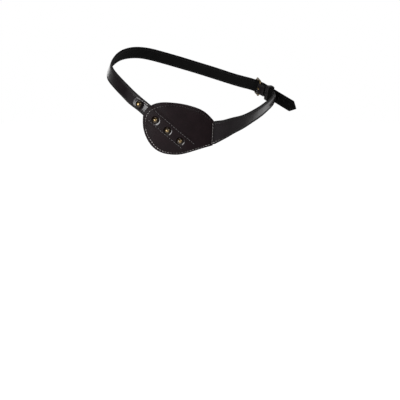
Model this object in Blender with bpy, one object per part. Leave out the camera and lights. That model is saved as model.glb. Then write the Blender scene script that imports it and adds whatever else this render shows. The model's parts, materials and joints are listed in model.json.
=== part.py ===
"""Leather eye patch on a strap loop that closes with a roller buckle at the back.

Metres, +Z up. The wearer faces -Y and +X is the wearer's left. The origin is
the centre of the oval form that the loop is shaped on. Numbers below are
millimetres unless they say otherwise; mm() turns them into metres.
"""

import math

import bmesh
import bpy
import numpy as np
from mathutils import Matrix, Vector

for old in list(bpy.data.objects):
    bpy.data.objects.remove(old, do_unlink=True)

# ---------------------------------------------------------------- dimensions
GAP = 0.3                       # running gap between neighbouring pieces

# the oval form that the straps lie on: half width, half length, height up/down
FORM_A, FORM_B, FORM_UP, FORM_DOWN = 78.0, 100.0, 82.0, 130.0
STRAP_OFF = 0.4                 # strap's inner face above the form

# patch: a dome with its top point, outward direction and two radii
PATCH_TOP = np.array([39.63, -88.91, -30.52])
PATCH_OUT = np.array([0.578, -0.803, -0.145])
PATCH_R_ACROSS, PATCH_R_UP = 78.0, 125.0
COVER_T, STIFFENER_T, LINING_T = 1.1, 2.3, 0.7
# outline in the dome's own u (outward to the temple) and v (up); the straight
# right side, between the first and the last point, is the temple seam
OUTLINE = [(35.3, 4.7), (29.3, 11.4), (22.5, 16.4), (14.0, 19.9), (5.0, 22.3),
           (-4.8, 23.6), (-14.0, 23.8), (-22.3, 22.0), (-28.6, 17.9),
           (-32.1, 12.3), (-33.0, 5.5), (-32.5, -1.6), (-29.3, -11.2),
           (-23.7, -19.3), (-16.2, -24.4), (-8.0, -26.4), (1.0, -26.7),
           (10.0, -25.0), (18.0, -22.9), (26.0, -20.9), (34.6, -19.3)]

# straps
STRAP_W = 12.5
PLY_T, BACKING_T = 1.0, 0.7
PLY_0 = BACKING_T + GAP         # outer ply's inner face above the strap's inner face
STRAP_T = PLY_0 + PLY_T

# diagonal band: where the brow strap crosses the rim, and its direction
CROSSING = np.array([-29.5, 15.6])
BAND_DIR = np.array([0.760, -0.650])
TONGUE_LEN = 52.0
TONGUE_SINK, TUCK_SINK = 0.3, 0.45   # a flat strap end lies this much deeper under the curved cover
BAND_THREAD_OFF = 5.35

# studs: three on the band (u, v), one on the brow strap at a distance from the rim
STUDS_UV = [(-21.2, 7.1), (-9.9, -2.5), (1.9, -12.6)]
BROW_STUD_AT = 9.4
STUD_R, STUD_LIP, STUD_H = 3.5, 0.45, 2.75
POST_R, POST_FLANGE_R, POST_FLANGE_T = 1.1, 2.9, 0.6

# route of the brow strap: angle from straight ahead, height, and how far it lies
# above (or in from) the form there
BROW_ROUTE = [(3.4, -8.3, 0), (-2.4, -2.8, 0), (-7.6, 2.6, 0), (-13.7, 8.1, 0), (-22.1, 14.1, -0.3),
              (-31.7, 19.5, -0.9), (-45.0, 26.1, -3.0), (-60.0, 31.8, -3.2), (-75.0, 36.5, -2.0),
              (-90.0, 38.6, -0.8), (-105.0, 37.8, -0.2), (-120.0, 33.8, 0), (-135.0, 28.2, 0),
              (-150.0, 21.8, 0), (-164.0, 15.6, 0)]
# route of the temple strap
TEMPLE_ROUTE = [(58.7, -33.15, 0.5), (65.8, -29.85, 0.4), (73.5, -26.85, 0.2), (82.2, -22.45, 0),
                (92.8, -17.05, 0), (101.2, -12.95, 0), (109.4, -9.95, 0), (117.0, -7.9, 0)]
# half width of the temple strap at distances from the seam
TEMPLE_TAPER = [(-8.0, 7.9), (-2.0, 10.6), (0.0, 11.3), (3.0, 10.9), (6.0, 10.5),
                (10.0, 9.9), (15.0, 9.2), (20.0, 8.6), (26.0, 8.0), (33.0, 7.25),
                (41.0, 6.6), (50.0, 6.05), (62.0, 5.75), (75.0, 5.5), (90.0, 5.15),
                (105.0, 5.0), (125.0, 5.15), (145.0, 5.45), (200.0, 5.6)]

# buckle: heel bar axis, directions along the strap (towards the tip) and out
BUCKLE_PHI, BUCKLE_Z, BUCKLE_SLOPE = 156.0, -0.4, 0.30
BUCKLE_OFF, BUCKLE_TOUCH = 2.7, 6.0
BAR_R = 1.0                     # buckle wire
FRAME_INNER = 13.4              # clear width between the side bars
OUTER_BAR = np.array([-12.5, 3.5])   # outer bar in (along, out)
ROLLER_IN, ROLLER_OUT, ROLLER_LEN = 1.3, 1.75, 11.4
PRONG_R = 0.7
PRONG_PAST = 2.2                # prong's length past the roller
FOLD_IN = BAR_R + GAP           # inside of the leather fold round the heel bar
FOLD_RETURN = 10.0
OVER_FOLD = 3.0                 # inner face of the brow strap above the bar axis
SLOT_W = 2.6                    # prong slot in the strap
KEEPER_AT, KEEPER_W, KEEPER_T = 15.5, 5.0, 1.3
TAIL_HINGE = 23.0
TAIL_TIP = 65.5
TAIL_POINT = (6.0, 10.5)        # length of the pointed end along its upper and lower edge
TAIL_HOLES = [33.0, 43.0, 53.0]
HOLE_R = 1.4


def mm(v):
    return 0.001 * np.asarray(v, float)


def unit(v):
    v = np.asarray(v, float)
    return v / np.linalg.norm(v)


# ---------------------------------------------------------------- the surfaces
def form(phi, z, off=0.0):
    """Point and outward direction on the oval form, at an angle and a height."""
    c = FORM_UP if z > 0 else FORM_DOWN
    s = math.sqrt(1 - (z / c) ** 2)
    a = math.radians(phi)
    p = np.array([FORM_A * s * math.sin(a), -FORM_B * s * math.cos(a), z])
    g = unit([p[0] / FORM_A ** 2, p[1] / FORM_B ** 2, p[2] / c ** 2])
    return p + off * g, g


P_N = unit(PATCH_OUT)
P_U = unit(np.cross([0, 0, 1], P_N))
P_V = np.cross(P_N, P_U)


def dome(u, v, depth=0.0):
    """Point and outward direction on the patch dome, at a depth under its face."""
    g = unit(P_N + P_U * u / PATCH_R_ACROSS + P_V * v / PATCH_R_UP)
    sag = u * u / (2 * PATCH_R_ACROSS) + v * v / (2 * PATCH_R_UP)
    return PATCH_TOP + P_U * u + P_V * v - P_N * sag - g * depth, g


# the buckle's own frame: along the strap, outwards, up across the strap
touch, g0 = form(BUCKLE_PHI, BUCKLE_Z, BUCKLE_OFF)
K_N = unit([g0[0], g0[1], 0])
K_T = unit(np.array([K_N[1], -K_N[0], 0]) + np.array([0, 0, -BUCKLE_SLOPE]))
K_B = np.cross(K_T, K_N)
K_O = touch - BUCKLE_TOUCH * K_T


def at_buckle(t, n, b=0.0):
    return K_O + K_T * t + K_N * n + K_B * b


# ---------------------------------------------------------------- small tools
def natural_spline(points, knots, where):
    """Natural cubic spline through points, read at the given knot values."""
    y = np.asarray(points, float)
    k = np.asarray(knots, float)
    n = len(k)
    h = np.diff(k)
    m = np.zeros((n, n))
    r = np.zeros((n, y.shape[1]))
    m[0, 0] = m[-1, -1] = 1
    for i in range(1, n - 1):
        m[i, i - 1], m[i, i], m[i, i + 1] = h[i - 1], 2 * (h[i - 1] + h[i]), h[i]
        r[i] = 6 * ((y[i + 1] - y[i]) / h[i] - (y[i] - y[i - 1]) / h[i - 1])
    d2 = np.linalg.solve(m, r)
    out = []
    for x in where:
        i = min(max(int(np.searchsorted(k, x)) - 1, 0), n - 2)
        a, b = (k[i + 1] - x) / h[i], (x - k[i]) / h[i]
        out.append(a * y[i] + b * y[i + 1]
                   + ((a ** 3 - a) * d2[i] + (b ** 3 - b) * d2[i + 1]) * h[i] ** 2 / 6)
    return np.array(out)


def route(stations, step):
    """Stations (point, outward direction) read from a smooth line, about step
    apart: points, outward directions, up-pointing width directions, distances."""
    p = np.array([s[0] for s in stations])
    g = np.array([s[1] for s in stations])
    knots = np.concatenate([[0], np.cumsum(np.linalg.norm(np.diff(p, axis=0), axis=1))])
    fine = np.linspace(0, knots[-1], 1200)
    q = natural_spline(p, knots, fine)
    run = np.concatenate([[0], np.cumsum(np.linalg.norm(np.diff(q, axis=0), axis=1))])
    count = max(2, int(round(run[-1] / step)) + 1)
    s = np.linspace(0, run[-1], count)
    where = np.interp(s, run, fine)
    pts = natural_spline(p, knots, where)
    out = natural_spline(g, knots, where)
    tan = natural_spline(p, knots, np.clip(where + 0.05, 0, knots[-1])) \
        - natural_spline(p, knots, np.clip(where - 0.05, 0, knots[-1]))
    tan /= np.linalg.norm(tan, axis=1)[:, None]
    out -= tan * np.sum(out * tan, axis=1)[:, None]
    out /= np.linalg.norm(out, axis=1)[:, None]
    wid = np.cross(tan, out)
    wid *= np.where(wid[:, 2:3] < 0, -1, 1)
    return pts, out, wid, s


def material(name, colour, rough, metal=0.0):
    m = bpy.data.materials.new(name)
    m.use_nodes = True
    b = m.node_tree.nodes["Principled BSDF"]
    b.inputs["Base Color"].default_value = (*colour, 1)
    b.inputs["Roughness"].default_value = rough
    b.inputs["Metallic"].default_value = metal
    m.diffuse_color = (*colour, 1)
    return m


def piece(name, verts, faces, look, pivot=None, smooth=False):
    """One closed body from points in millimetres. With a pivot (an empty), the
    points are kept in the pivot's own frame and the piece is parented to it."""
    me = bpy.data.meshes.new(name)
    pts = mm(verts)
    if pivot is not None:
        inv = np.array(pivot.matrix_world.inverted())
        pts = pts @ inv[:3, :3].T + inv[:3, 3]
    me.from_pydata([tuple(p) for p in pts], [], faces)
    bm = bmesh.new()
    bm.from_mesh(me)
    bmesh.ops.remove_doubles(bm, verts=bm.verts, dist=1e-7)
    bmesh.ops.recalc_face_normals(bm, faces=bm.faces)
    bm.to_mesh(me)
    bm.free()
    if smooth:
        me.shade_smooth()
        me.set_sharp_from_angle(angle=math.radians(35))
    me.materials.append(look)
    ob = bpy.data.objects.new(name, me)
    bpy.context.scene.collection.objects.link(ob)
    if pivot is not None:
        ob.parent = pivot
    return ob


def empty(name, origin, x, y, z):
    ob = bpy.data.objects.new(name, None)
    bpy.context.scene.collection.objects.link(ob)
    m = Matrix.Identity(4)
    for i, (col, pos) in enumerate(zip((x, y, z), mm(origin))):
        for r in range(3):
            m[r][i] = col[r]
    for r in range(3):
        m[r][3] = mm(origin)[r]
    ob.matrix_world = m
    ob.empty_display_size = 0.004
    bpy.context.view_layer.update()
    return ob


def loft(rings, closed=False):
    """Vertices and faces of a body through equal rings of points, capped at
    both ends unless it is closed on itself."""
    k = len(rings[0])
    verts = [p for r in rings for p in r]
    faces = []
    n = len(rings)
    for i in range(n if closed else n - 1):
        a, b = i * k, ((i + 1) % n) * k
        for j in range(k):
            j2 = (j + 1) % k
            faces.append((a + j, a + j2, b + j2, b + j))
    if not closed:
        faces.append(tuple(range(k)))
        faces.append(tuple((n - 1) * k + j for j in range(k)))
    return verts, faces


def ribbon_rings(pts, out, wid, half, n0, n1):
    return [[p + o * n0 - w * h, p + o * n0 + w * h, p + o * n1 + w * h, p + o * n1 - w * h]
            for p, o, w, h in zip(pts, out, wid, half)]


def tube_rings(path, side, up, radii, count):
    """Circles round a path whose cross directions are given."""
    rings = []
    for p, a, b, r in zip(path, side, up, radii):
        rings.append([p + r * (a * math.cos(2 * math.pi * k / count)
                               + b * math.sin(2 * math.pi * k / count))
                      for k in range(count)])
    return rings


def tube(name, path, radius, look, count, up_hint, pivot=None, closed=False, radii=None):
    path = np.asarray(path, float)
    n = len(path)
    if closed:
        tan = np.roll(path, -1, axis=0) - np.roll(path, 1, axis=0)
    else:
        tan = np.gradient(path, axis=0)
    tan /= np.linalg.norm(tan, axis=1)[:, None]
    up = np.asarray(up_hint, float)
    up = np.tile(up, (n, 1)) if up.ndim == 1 else up
    side = np.cross(tan, up)
    side /= np.linalg.norm(side, axis=1)[:, None]
    up = np.cross(side, tan)
    v, f = loft(tube_rings(path, side, up, radii if radii is not None else [radius] * n,
                           count), closed)
    return piece(name, v, f, look, pivot, smooth=True)


def turned(name, profile, base, axis, look, count):
    """A body turned about an axis from a closed profile of (radius, height)
    that starts and ends on the axis."""
    axis = unit(axis)
    a = unit(np.cross(axis, [0.3, 0.2, 0.9]))
    b = np.cross(axis, a)
    verts, faces = [], []
    rows = []
    for r, h in profile:
        if r < 1e-6:
            rows.append([len(verts)])
            verts.append(base + axis * h)
        else:
            rows.append(list(range(len(verts), len(verts) + count)))
            verts += [base + axis * h + r * (a * math.cos(2 * math.pi * k / count)
                                             + b * math.sin(2 * math.pi * k / count))
                      for k in range(count)]
    for lo, hi in zip(rows[:-1], rows[1:]):
        for k in range(count):
            k2 = (k + 1) % count
            if len(lo) == 1:
                faces.append((lo[0], hi[k], hi[k2]))
            elif len(hi) == 1:
                faces.append((lo[k], lo[k2], hi[0]))
            else:
                faces.append((lo[k], lo[k2], hi[k2], hi[k]))
    return piece(name, verts, faces, look, smooth=True)


def cut(target, cutter):
    cutter.hide_render = True
    cutter.display_type = 'WIRE'
    m = target.modifiers.new("cut_" + cutter.name, 'BOOLEAN')
    m.operation = 'DIFFERENCE'
    m.solver = 'EXACT'
    m.object = cutter


def peg(name, centre, axis, radius, reach, count=12):
    """A straight cutter through a point."""
    v = [(0, reach), (radius, reach), (radius, -reach), (0, -reach)]
    return turned(name, v, np.asarray(centre, float), axis, CUTTER, count)


# ---------------------------------------------------------------- materials
LEATHER_MATT = material("patch_leather", (0.012, 0.010, 0.010), 0.62)
LEATHER = material("strap_leather", (0.010, 0.010, 0.011), 0.38)
BACKING = material("backing", (0.008, 0.008, 0.008), 0.9)
LINING = material("lining", (0.014, 0.013, 0.013), 0.95)
BOARD = material("board", (0.16, 0.13, 0.10), 0.9)
BRASS = material("antique_brass", (0.33, 0.21, 0.07), 0.32, 1.0)
STEEL = material("rivet_steel", (0.30, 0.27, 0.22), 0.4, 1.0)
THREAD = material("thread", (0.17, 0.16, 0.15), 0.8)
CUTTER = material("cutter", (0.8, 0.2, 0.2), 0.8)


# ---------------------------------------------------------------- patch outline
def outline(count, inset=0.0):
    """The patch's outline as evenly spaced (u, v), open at the temple seam:
    first point at the seam's top corner, last at its bottom corner."""
    p = np.array(OUTLINE)
    knots = np.concatenate([[0], np.cumsum(np.linalg.norm(np.diff(p, axis=0), axis=1))])
    fine = natural_spline(p, knots, np.linspace(0, knots[-1], 800))
    run = np.concatenate([[0], np.cumsum(np.linalg.norm(np.diff(fine, axis=0), axis=1))])
    s = np.linspace(0, run[-1], count)
    q = np.stack([np.interp(s, run, fine[:, 0]), np.interp(s, run, fine[:, 1])], 1)
    if inset:
        t = np.gradient(q, axis=0)
        t /= np.linalg.norm(t, axis=1)[:, None]
        q = q + inset * np.stack([-t[:, 1], t[:, 0]], 1)
    return q


def domed_sheet(name, depth0, depth1, look, inset=0.0):
    """A sheet of the patch's outline between two depths under its face."""
    curve = outline(52, inset)
    if inset:
        curve[0, 0] -= inset
        curve[-1, 0] -= inset
    seam = [curve[-1] + (curve[0] - curve[-1]) * k / 8 for k in range(1, 8)]
    loop = np.concatenate([curve, np.array(seam)])
    centre = np.array([0.0, -1.0])
    n = len(loop)
    verts, faces = [], []
    tops = []
    for side, d in enumerate((depth0, depth1)):
        first = len(verts)
        verts.append(dome(*centre, d)[0])
        shares = (0.25, 0.5, 0.75, 0.9, 1.0)
        for share in shares:
            verts += [dome(*(centre + (q - centre) * share), d)[0] for q in loop]
        for k in range(n):
            faces.append((first, first + 1 + k, first + 1 + (k + 1) % n))
        for r in range(len(shares) - 1):
            a, b = first + 1 + r * n, first + 1 + (r + 1) * n
            for k in range(n):
                k2 = (k + 1) % n
                faces.append((a + k, b + k, b + k2, a + k2))
        tops.append(first + 1 + (len(shares) - 1) * n)
    for k in range(n):
        k2 = (k + 1) % n
        faces.append((tops[0] + k, tops[1] + k, tops[1] + k2, tops[0] + k2))
    return piece(name, verts, faces, look)


D_STIFF = COVER_T + GAP
D_LINING = D_STIFF + STIFFENER_T + GAP
D_STRAP = COVER_T + GAP + STRAP_T      # depth of a strap's inner face under the cover

cover = domed_sheet("patch_cover", 0.0, COVER_T, LEATHER_MATT)
stiffener = domed_sheet("patch_stiffener", D_STIFF, D_STIFF + STIFFENER_T, BOARD, inset=3.4)
lining = domed_sheet("patch_lining", D_LINING, D_LINING + LINING_T, LINING)

# ---------------------------------------------------------------- brow strap route
brow = []
for k in range(6):
    uv = CROSSING + BAND_DIR * TONGUE_LEN * (1 - k / 5)
    brow.append(dome(*uv, D_STRAP + TONGUE_SINK))
for phi, z, above in BROW_ROUTE:
    brow.append(form(phi, z, STRAP_OFF + above))
roller_n = OUTER_BAR[1] - ROLLER_OUT - 0.45 - STRAP_T
for t, n in [(-22.0, -7.2), (-13.0, roller_n - 0.05), (-5.5, 1.35), (1.0, OVER_FOLD - 0.12),
             (6.0, OVER_FOLD), (12.0, OVER_FOLD), (18.0, OVER_FOLD), (TAIL_HINGE - 1.2 * GAP, OVER_FOLD)]:
    brow.append((at_buckle(t, n), K_N))
B_P, B_O, B_W, B_S = route(brow, 5.0)
# distance along the strap where it crosses the rim
cross_point = dome(*CROSSING, D_STRAP + TONGUE_SINK)[0]
B_CROSS = B_S[int(np.argmin(np.linalg.norm(B_P - cross_point, axis=1)))]

half = np.full(len(B_P), STRAP_W / 2)
brow_outer = piece("brow_strap", *loft(ribbon_rings(B_P, B_O, B_W, half, PLY_0, STRAP_T)), LEATHER)
keep = B_S > B_CROSS + 3.5
brow_backing = piece("brow_strap_backing", *loft(ribbon_rings(
    B_P[keep], B_O[keep], B_W[keep], half[keep], 0.0, BACKING_T)), BACKING)

# ---------------------------------------------------------------- temple strap route
seam_mid = (34.2, -7.55)
temple = [dome(u, v, D_STRAP + TUCK_SINK) for u, v in ((27.0, -10.4), (30.6, -9.05), seam_mid)]
for phi, z, above in TEMPLE_ROUTE:
    temple.append(form(phi, z, STRAP_OFF + above))
FOLD_N = FOLD_IN - PLY_0          # strap's inner face above the bar axis, at the fold
for t, n, b, lean in [(52.5, -16.6, 6.6, 0.62), (43.0, -10.4, 4.3, 0.5), (35.0, -5.2, 2.3, 0.4),
                      (29.0, -1.75, 0.9, 0.26), (24.5, -0.1, 0.15, 0.1), (20.5, FOLD_N, 0, 0),
                      (15.0, FOLD_N, 0, 0), (10.0, FOLD_N, 0, 0), (3.5, FOLD_N, 0, 0)]:
    temple.append((at_buckle(t, n, b), unit(K_N + K_T * lean)))
T_P, T_O, T_W, T_S = route(temple, 4.5)
seam_at = T_S[int(np.argmin(np.linalg.norm(T_P - temple[2][0], axis=1)))]
taper = np.array(TEMPLE_TAPER)
t_half = np.interp(T_S - seam_at, taper[:, 0], taper[:, 1])

rings = ribbon_rings(T_P, T_O, T_W, t_half, PLY_0, STRAP_T)
# the outer ply goes on round the heel bar and back under itself
fold_half = t_half[-1]


def fold_ring(t, n, out_t, out_n, n0=PLY_0, n1=STRAP_T):
    p = at_buckle(t, n)
    o = K_T * out_t + K_N * out_n
    return [p + o * n0 - K_B * fold_half, p + o * n0 + K_B * fold_half,
            p + o * n1 + K_B * fold_half, p + o * n1 - K_B * fold_half]


for k in range(11):
    a = math.radians(90 + 18 * k)
    rings.append(fold_ring(FOLD_N * math.cos(a), FOLD_N * math.sin(a), math.cos(a), math.sin(a)))
rise = FOLD_N + PLY_0 - GAP
for t in np.linspace(1.5, 7.0, 5):
    x = (t - 1.0) / 6.0
    rings.append(fold_ring(t, -FOLD_N + (rise + 0.0) * (3 * x * x - 2 * x ** 3), 0, -1))
rings.append(fold_ring(FOLD_RETURN, -FOLD_N + rise, 0, -1))
temple_outer = piece("temple_strap", *loft(rings), LEATHER)

keep = (T_S > seam_at + 1.6) & (T_S < T_S[-1] - 0.5)
temple_backing = piece("temple_strap_backing", *loft(ribbon_rings(
    T_P[keep], T_O[keep], T_W[keep], t_half[keep], 0.0, BACKING_T)), BACKING)

# ---------------------------------------------------------------- channels in the stiffener
tongue_n = int(np.sum(B_S < B_CROSS + 6)) + 1
groove_p = np.concatenate([[B_P[0] + (B_P[0] - B_P[1]) * 0.12], B_P[1:tongue_n]])
groove = piece("cut_tongue_groove", *loft(ribbon_rings(
    groove_p, B_O[:tongue_n], B_W[:tongue_n], np.full(tongue_n, STRAP_W / 2 + 0.4),
    PLY_0 - GAP, STRAP_T + 1.0)), CUTTER)
cut(stiffener, groove)
pocket_n = int(np.sum(T_S < seam_at + 6)) + 1
pocket_p = np.concatenate([[T_P[0] + (T_P[0] - T_P[1]) * 0.12], T_P[1:pocket_n]])
pocket = piece("cut_temple_pocket", *loft(ribbon_rings(
    pocket_p, T_O[:pocket_n], T_W[:pocket_n], t_half[:pocket_n] + 0.5,
    PLY_0 - GAP, STRAP_T + 1.0)), CUTTER)
cut(stiffener, pocket)

# ---------------------------------------------------------------- studs and rivet posts
dome_h = STUD_H - STUD_LIP
dome_r = (STUD_R ** 2 + dome_h ** 2) / (2 * dome_h)
span = math.asin(STUD_R / dome_r)
cap_profile = [(0.0, 1.75), (POST_R + GAP, 1.75), (POST_R + GAP, 0.0), (STUD_R, 0.0), (STUD_R, STUD_LIP)]
for k in range(1, 6):
    a = span * (1 - k / 6)
    cap_profile.append((dome_r * math.sin(a), STUD_H - dome_r + dome_r * math.cos(a)))
cap_profile.append((0.0, STUD_H))


def stud(label, face, out, depth):
    """Cap on a face, and the post that goes down to a flat back at a depth."""
    cap = turned("stud_cap_" + label, cap_profile, face + out * GAP, out, BRASS, 18)
    low = -(depth + GAP)
    profile = [(0.0, 1.45 + GAP), (POST_R, 1.45 + GAP), (POST_R, low),
               (POST_FLANGE_R, low), (POST_FLANGE_R, low - POST_FLANGE_T), (0.0, low - POST_FLANGE_T)]
    post = turned("rivet_post_" + label, profile, face, out, STEEL, 12)
    return cap, post


for i, (u, v) in enumerate(STUDS_UV):
    face, out = dome(u, v)
    stud(str(i + 1), face, out, D_LINING + LINING_T)
    hole = peg("cut_stud_hole_%d" % (i + 1), face, out, POST_R + GAP, 9.0)
    for target in (cover, stiffener, lining, brow_outer):
        cut(target, hole)

k = int(np.argmin(np.abs(B_S - (B_CROSS + BROW_STUD_AT))))
x = (B_CROSS + BROW_STUD_AT - B_S[k]) / (B_S[k + 1] - B_S[k - 1]) * 2
face = B_P[k] + (B_P[k + 1] - B_P[k - 1]) / 2 * x + B_O[k] * STRAP_T
stud("brow", face + B_O[k] * 0.05, B_O[k], STRAP_T + 0.1)
hole = peg("cut_stud_hole_brow", face, B_O[k], POST_R + GAP, 6.0)
cut(brow_outer, hole)
cut(brow_backing, hole)

# ---------------------------------------------------------------- threads
THREAD_R = 0.25
# how far in from the edge the rim's stitch line stands, by direction from the middle
RIM_TURN = [0, 20, 45, 75, 104, 114, 126, 140, 150, 160, 170,
            180, 190, 200, 210, 220, 232, 248, 270, 315, 332, 360]
RIM_INSET = [2.2, 2.75, 2.9, 2.5, 2.5, 2.95, 3.75, 4.1, 3.75, 3.4, 2.9,
             2.45, 2.25, 2.6, 2.8, 2.6, 2.2, 1.95, 1.9, 1.9, 2.15, 2.2]
# the rim's stitch line stands further in along the top and on the left side
base = outline(70)
inward = outline(70, inset=1.0) - base
rim = base + 1.9 * inward
for _ in range(4):
    turn = np.degrees(np.arctan2(rim[:, 1], rim[:, 0])) % 360
    rim = base + np.interp(turn, RIM_TURN, RIM_INSET)[:, None] * inward
rim = rim[2:-2]
path = np.array([dome(u, v, -(GAP + THREAD_R))[0] for u, v in rim])
ups = np.array([dome(u, v)[1] for u, v in rim])
tube("rim_thread", path, THREAD_R, THREAD, 4, ups)

line = [np.array(OUTLINE[-1]) * (1 - k / 10) + np.array(OUTLINE[0]) * k / 10 for k in range(1, 10)]
line = [q + np.array([-1.3, 0]) for q in line]
path = np.array([dome(*q, -(GAP + THREAD_R))[0] for q in line])
tube("temple_seam_thread", path, THREAD_R, THREAD, 4, np.array([dome(*q)[1] for q in line]))

across = np.array([-BAND_DIR[1], BAND_DIR[0]])
for label, sign, s0, s1 in [("upper", 1, 6.2, 55.5), ("lower", -1, 7.0, 50.0)]:
    line = [CROSSING + BAND_DIR * s + across * sign * BAND_THREAD_OFF for s in np.linspace(s0, s1, 16)]
    path = np.array([dome(*q, -(GAP + THREAD_R))[0] for q in line])
    tube("band_thread_" + label, path, THREAD_R, THREAD, 4, np.array([dome(*q)[1] for q in line]))

# ---------------------------------------------------------------- buckle
buckle_pivot = empty("buckle_pivot", K_O, K_T, K_N, K_B)
e = unit(OUTER_BAR)
reach = float(np.linalg.norm(OUTER_BAR))
side = FRAME_INNER / 2 + BAR_R
corner = 2.0
loop = []
for cx, cy, a0 in [(reach - corner, side - corner, 0), (corner, side - corner, 90),
                   (corner, -side + corner, 180), (reach - corner, -side + corner, 270)]:
    for k in range(5):
        a = math.radians(a0 + 22.5 * k)
        loop.append((cx + corner * math.cos(a), cy + corner * math.sin(a)))
frame_path = np.array([at_buckle(e[0] * x, e[1] * x, b) for x, b in loop])
frame_up = np.cross(K_T * e[0] + K_N * e[1], K_B)
tube("buckle_frame", frame_path, BAR_R, BRASS, 10, frame_up, pivot=buckle_pivot, closed=True)

# roller on the outer bar
roller_pivot = empty("roller_pivot", at_buckle(*OUTER_BAR), K_T, K_N, K_B)
rings = []
for r, b in [(ROLLER_IN, -1), (ROLLER_OUT, -1), (ROLLER_OUT, 1), (ROLLER_IN, 1)]:
    rings.append([at_buckle(OUTER_BAR[0] + r * math.cos(2 * math.pi * k / 20),
                            OUTER_BAR[1] + r * math.sin(2 * math.pi * k / 20),
                            b * ROLLER_LEN / 2) for k in range(20)])
piece("buckle_roller", *loft(rings, closed=True), BRASS, pivot=roller_pivot, smooth=True)

# prong: a wire curled round the heel bar, its needle lying on the roller
curl = BAR_R + GAP + PRONG_R
lift = ROLLER_OUT + GAP + PRONG_R
tilt = math.atan2(e[1], -e[0]) + math.asin((lift - curl) / reach)
d = np.array([-math.cos(tilt), math.sin(tilt)])
n2 = np.array([math.sin(tilt), math.cos(tilt)])
needle = [curl * n2 + d * s for s in np.linspace(reach + PRONG_PAST, 0.9, 9)]
turn0 = math.atan2(n2[1], n2[0])
curl_pts = [curl * np.array([math.cos(turn0 - math.radians(a)), math.sin(turn0 - math.radians(a))])
            for a in range(0, 301, 20)]
flat = needle + curl_pts
radii = [PRONG_R * f for f in (0.55, 0.85, 1, 1, 1, 1, 1, 1, 1)] + [PRONG_R] * len(curl_pts)
prong_pivot = empty("prong_pivot", K_O, K_T, K_N, K_B)
tube("buckle_prong", np.array([at_buckle(p[0], p[1]) for p in flat]), PRONG_R, BRASS, 8, K_B,
     pivot=prong_pivot, radii=radii)

# slots for the prong: through the fold and through the brow strap
def block(name, t0, t1, n0, n1, b0, b1):
    rings = [[at_buckle(t, n, b) for n, b in ((n0, b0), (n0, b1), (n1, b1), (n1, b0))] for t in (t0, t1)]
    return piece(name, *loft(rings), CUTTER)


fold_slot = block("cut_fold_slot", -4.0, 3.2, -4.0, 4.0, -1.6, 1.6)
cut(temple_outer, fold_slot)
strap_slot = block("cut_strap_slot", -8.2, 3.6, -4.0, 8.0, -SLOT_W / 2, SLOT_W / 2)
cut(brow_outer, strap_slot)
cut(brow_backing, strap_slot)

# ---------------------------------------------------------------- keeper
keeper_pivot = empty("keeper_pivot", at_buckle(KEEPER_AT, 0), K_T, K_N, K_B)
in_lo, in_hi = FOLD_N - GAP - 0.1, OVER_FOLD + STRAP_T + GAP + 0.1
in_b = STRAP_W / 2 + GAP + 0.15


def rounded(n0, n1, b, r, steps=4):
    pts = []
    for cn, cb, a0 in [(n1 - r, b - r, 0), (n0 + r, b - r, 90), (n0 + r, -b + r, 180), (n1 - r, -b + r, 270)]:
        for k in range(steps + 1):
            a = math.radians(a0 + 90 * k / steps)
            pts.append((cn + r * math.cos(a), cb + r * math.sin(a)))
    return pts


outer = rounded(in_lo - KEEPER_T, in_hi + KEEPER_T, in_b + KEEPER_T, 1.8)
inner = rounded(in_lo, in_hi, in_b, 0.5)
rings = []
for ring, t in [(inner, -1), (outer, -1), (outer, 1), (inner, 1)]:
    rings.append([at_buckle(KEEPER_AT + t * KEEPER_W / 2, n, b) for n, b in ring])
piece("strap_keeper", *loft(rings, closed=True), LEATHER, pivot=keeper_pivot)

# ---------------------------------------------------------------- strap tail
tail_pivot = empty("tail_pivot", at_buckle(TAIL_HINGE, OVER_FOLD + STRAP_T / 2), K_T, K_N, K_B)
t_line = np.concatenate([np.linspace(TAIL_HINGE + 2.2 * GAP, TAIL_TIP - TAIL_POINT[1], 9),
                         np.linspace(TAIL_TIP - TAIL_POINT[1], TAIL_TIP, 8)[1:]])
upper, lower = (np.maximum(np.minimum(1.0, (TAIL_TIP - t_line) / x) * STRAP_W / 2, 0.35) for x in TAIL_POINT)
hw = (upper + lower) / 2
t_pts = np.array([at_buckle(t, OVER_FOLD, b) for t, b in zip(t_line, (upper - lower) / 2)])
t_out = np.tile(K_N, (len(t_line), 1))
t_wid = np.tile(K_B, (len(t_line), 1))
tail = piece("strap_tail", *loft(ribbon_rings(t_pts, t_out, t_wid, hw, PLY_0, STRAP_T)),
             LEATHER, pivot=tail_pivot)
tail_backing = piece("strap_tail_backing", *loft(ribbon_rings(t_pts, t_out, t_wid, hw, 0.0, BACKING_T)),
                     BACKING, pivot=tail_pivot)
for i, t in enumerate(TAIL_HOLES):
    hole = peg("cut_tail_hole_%d" % (i + 1), at_buckle(t, OVER_FOLD + 1), K_N, HOLE_R, 4.0, 10)
    cut(tail, hole)
    cut(tail_backing, hole)
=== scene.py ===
"""Looks of the leather eye patch: fine leather, stitching and brass round the
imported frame. Metres, +Z up, the wearer faces -Y. Numbers below are millimetres
unless they say otherwise."""

import json
import math

import bmesh
import bpy
import numpy as np
from mathutils import Matrix, Vector, noise

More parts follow.
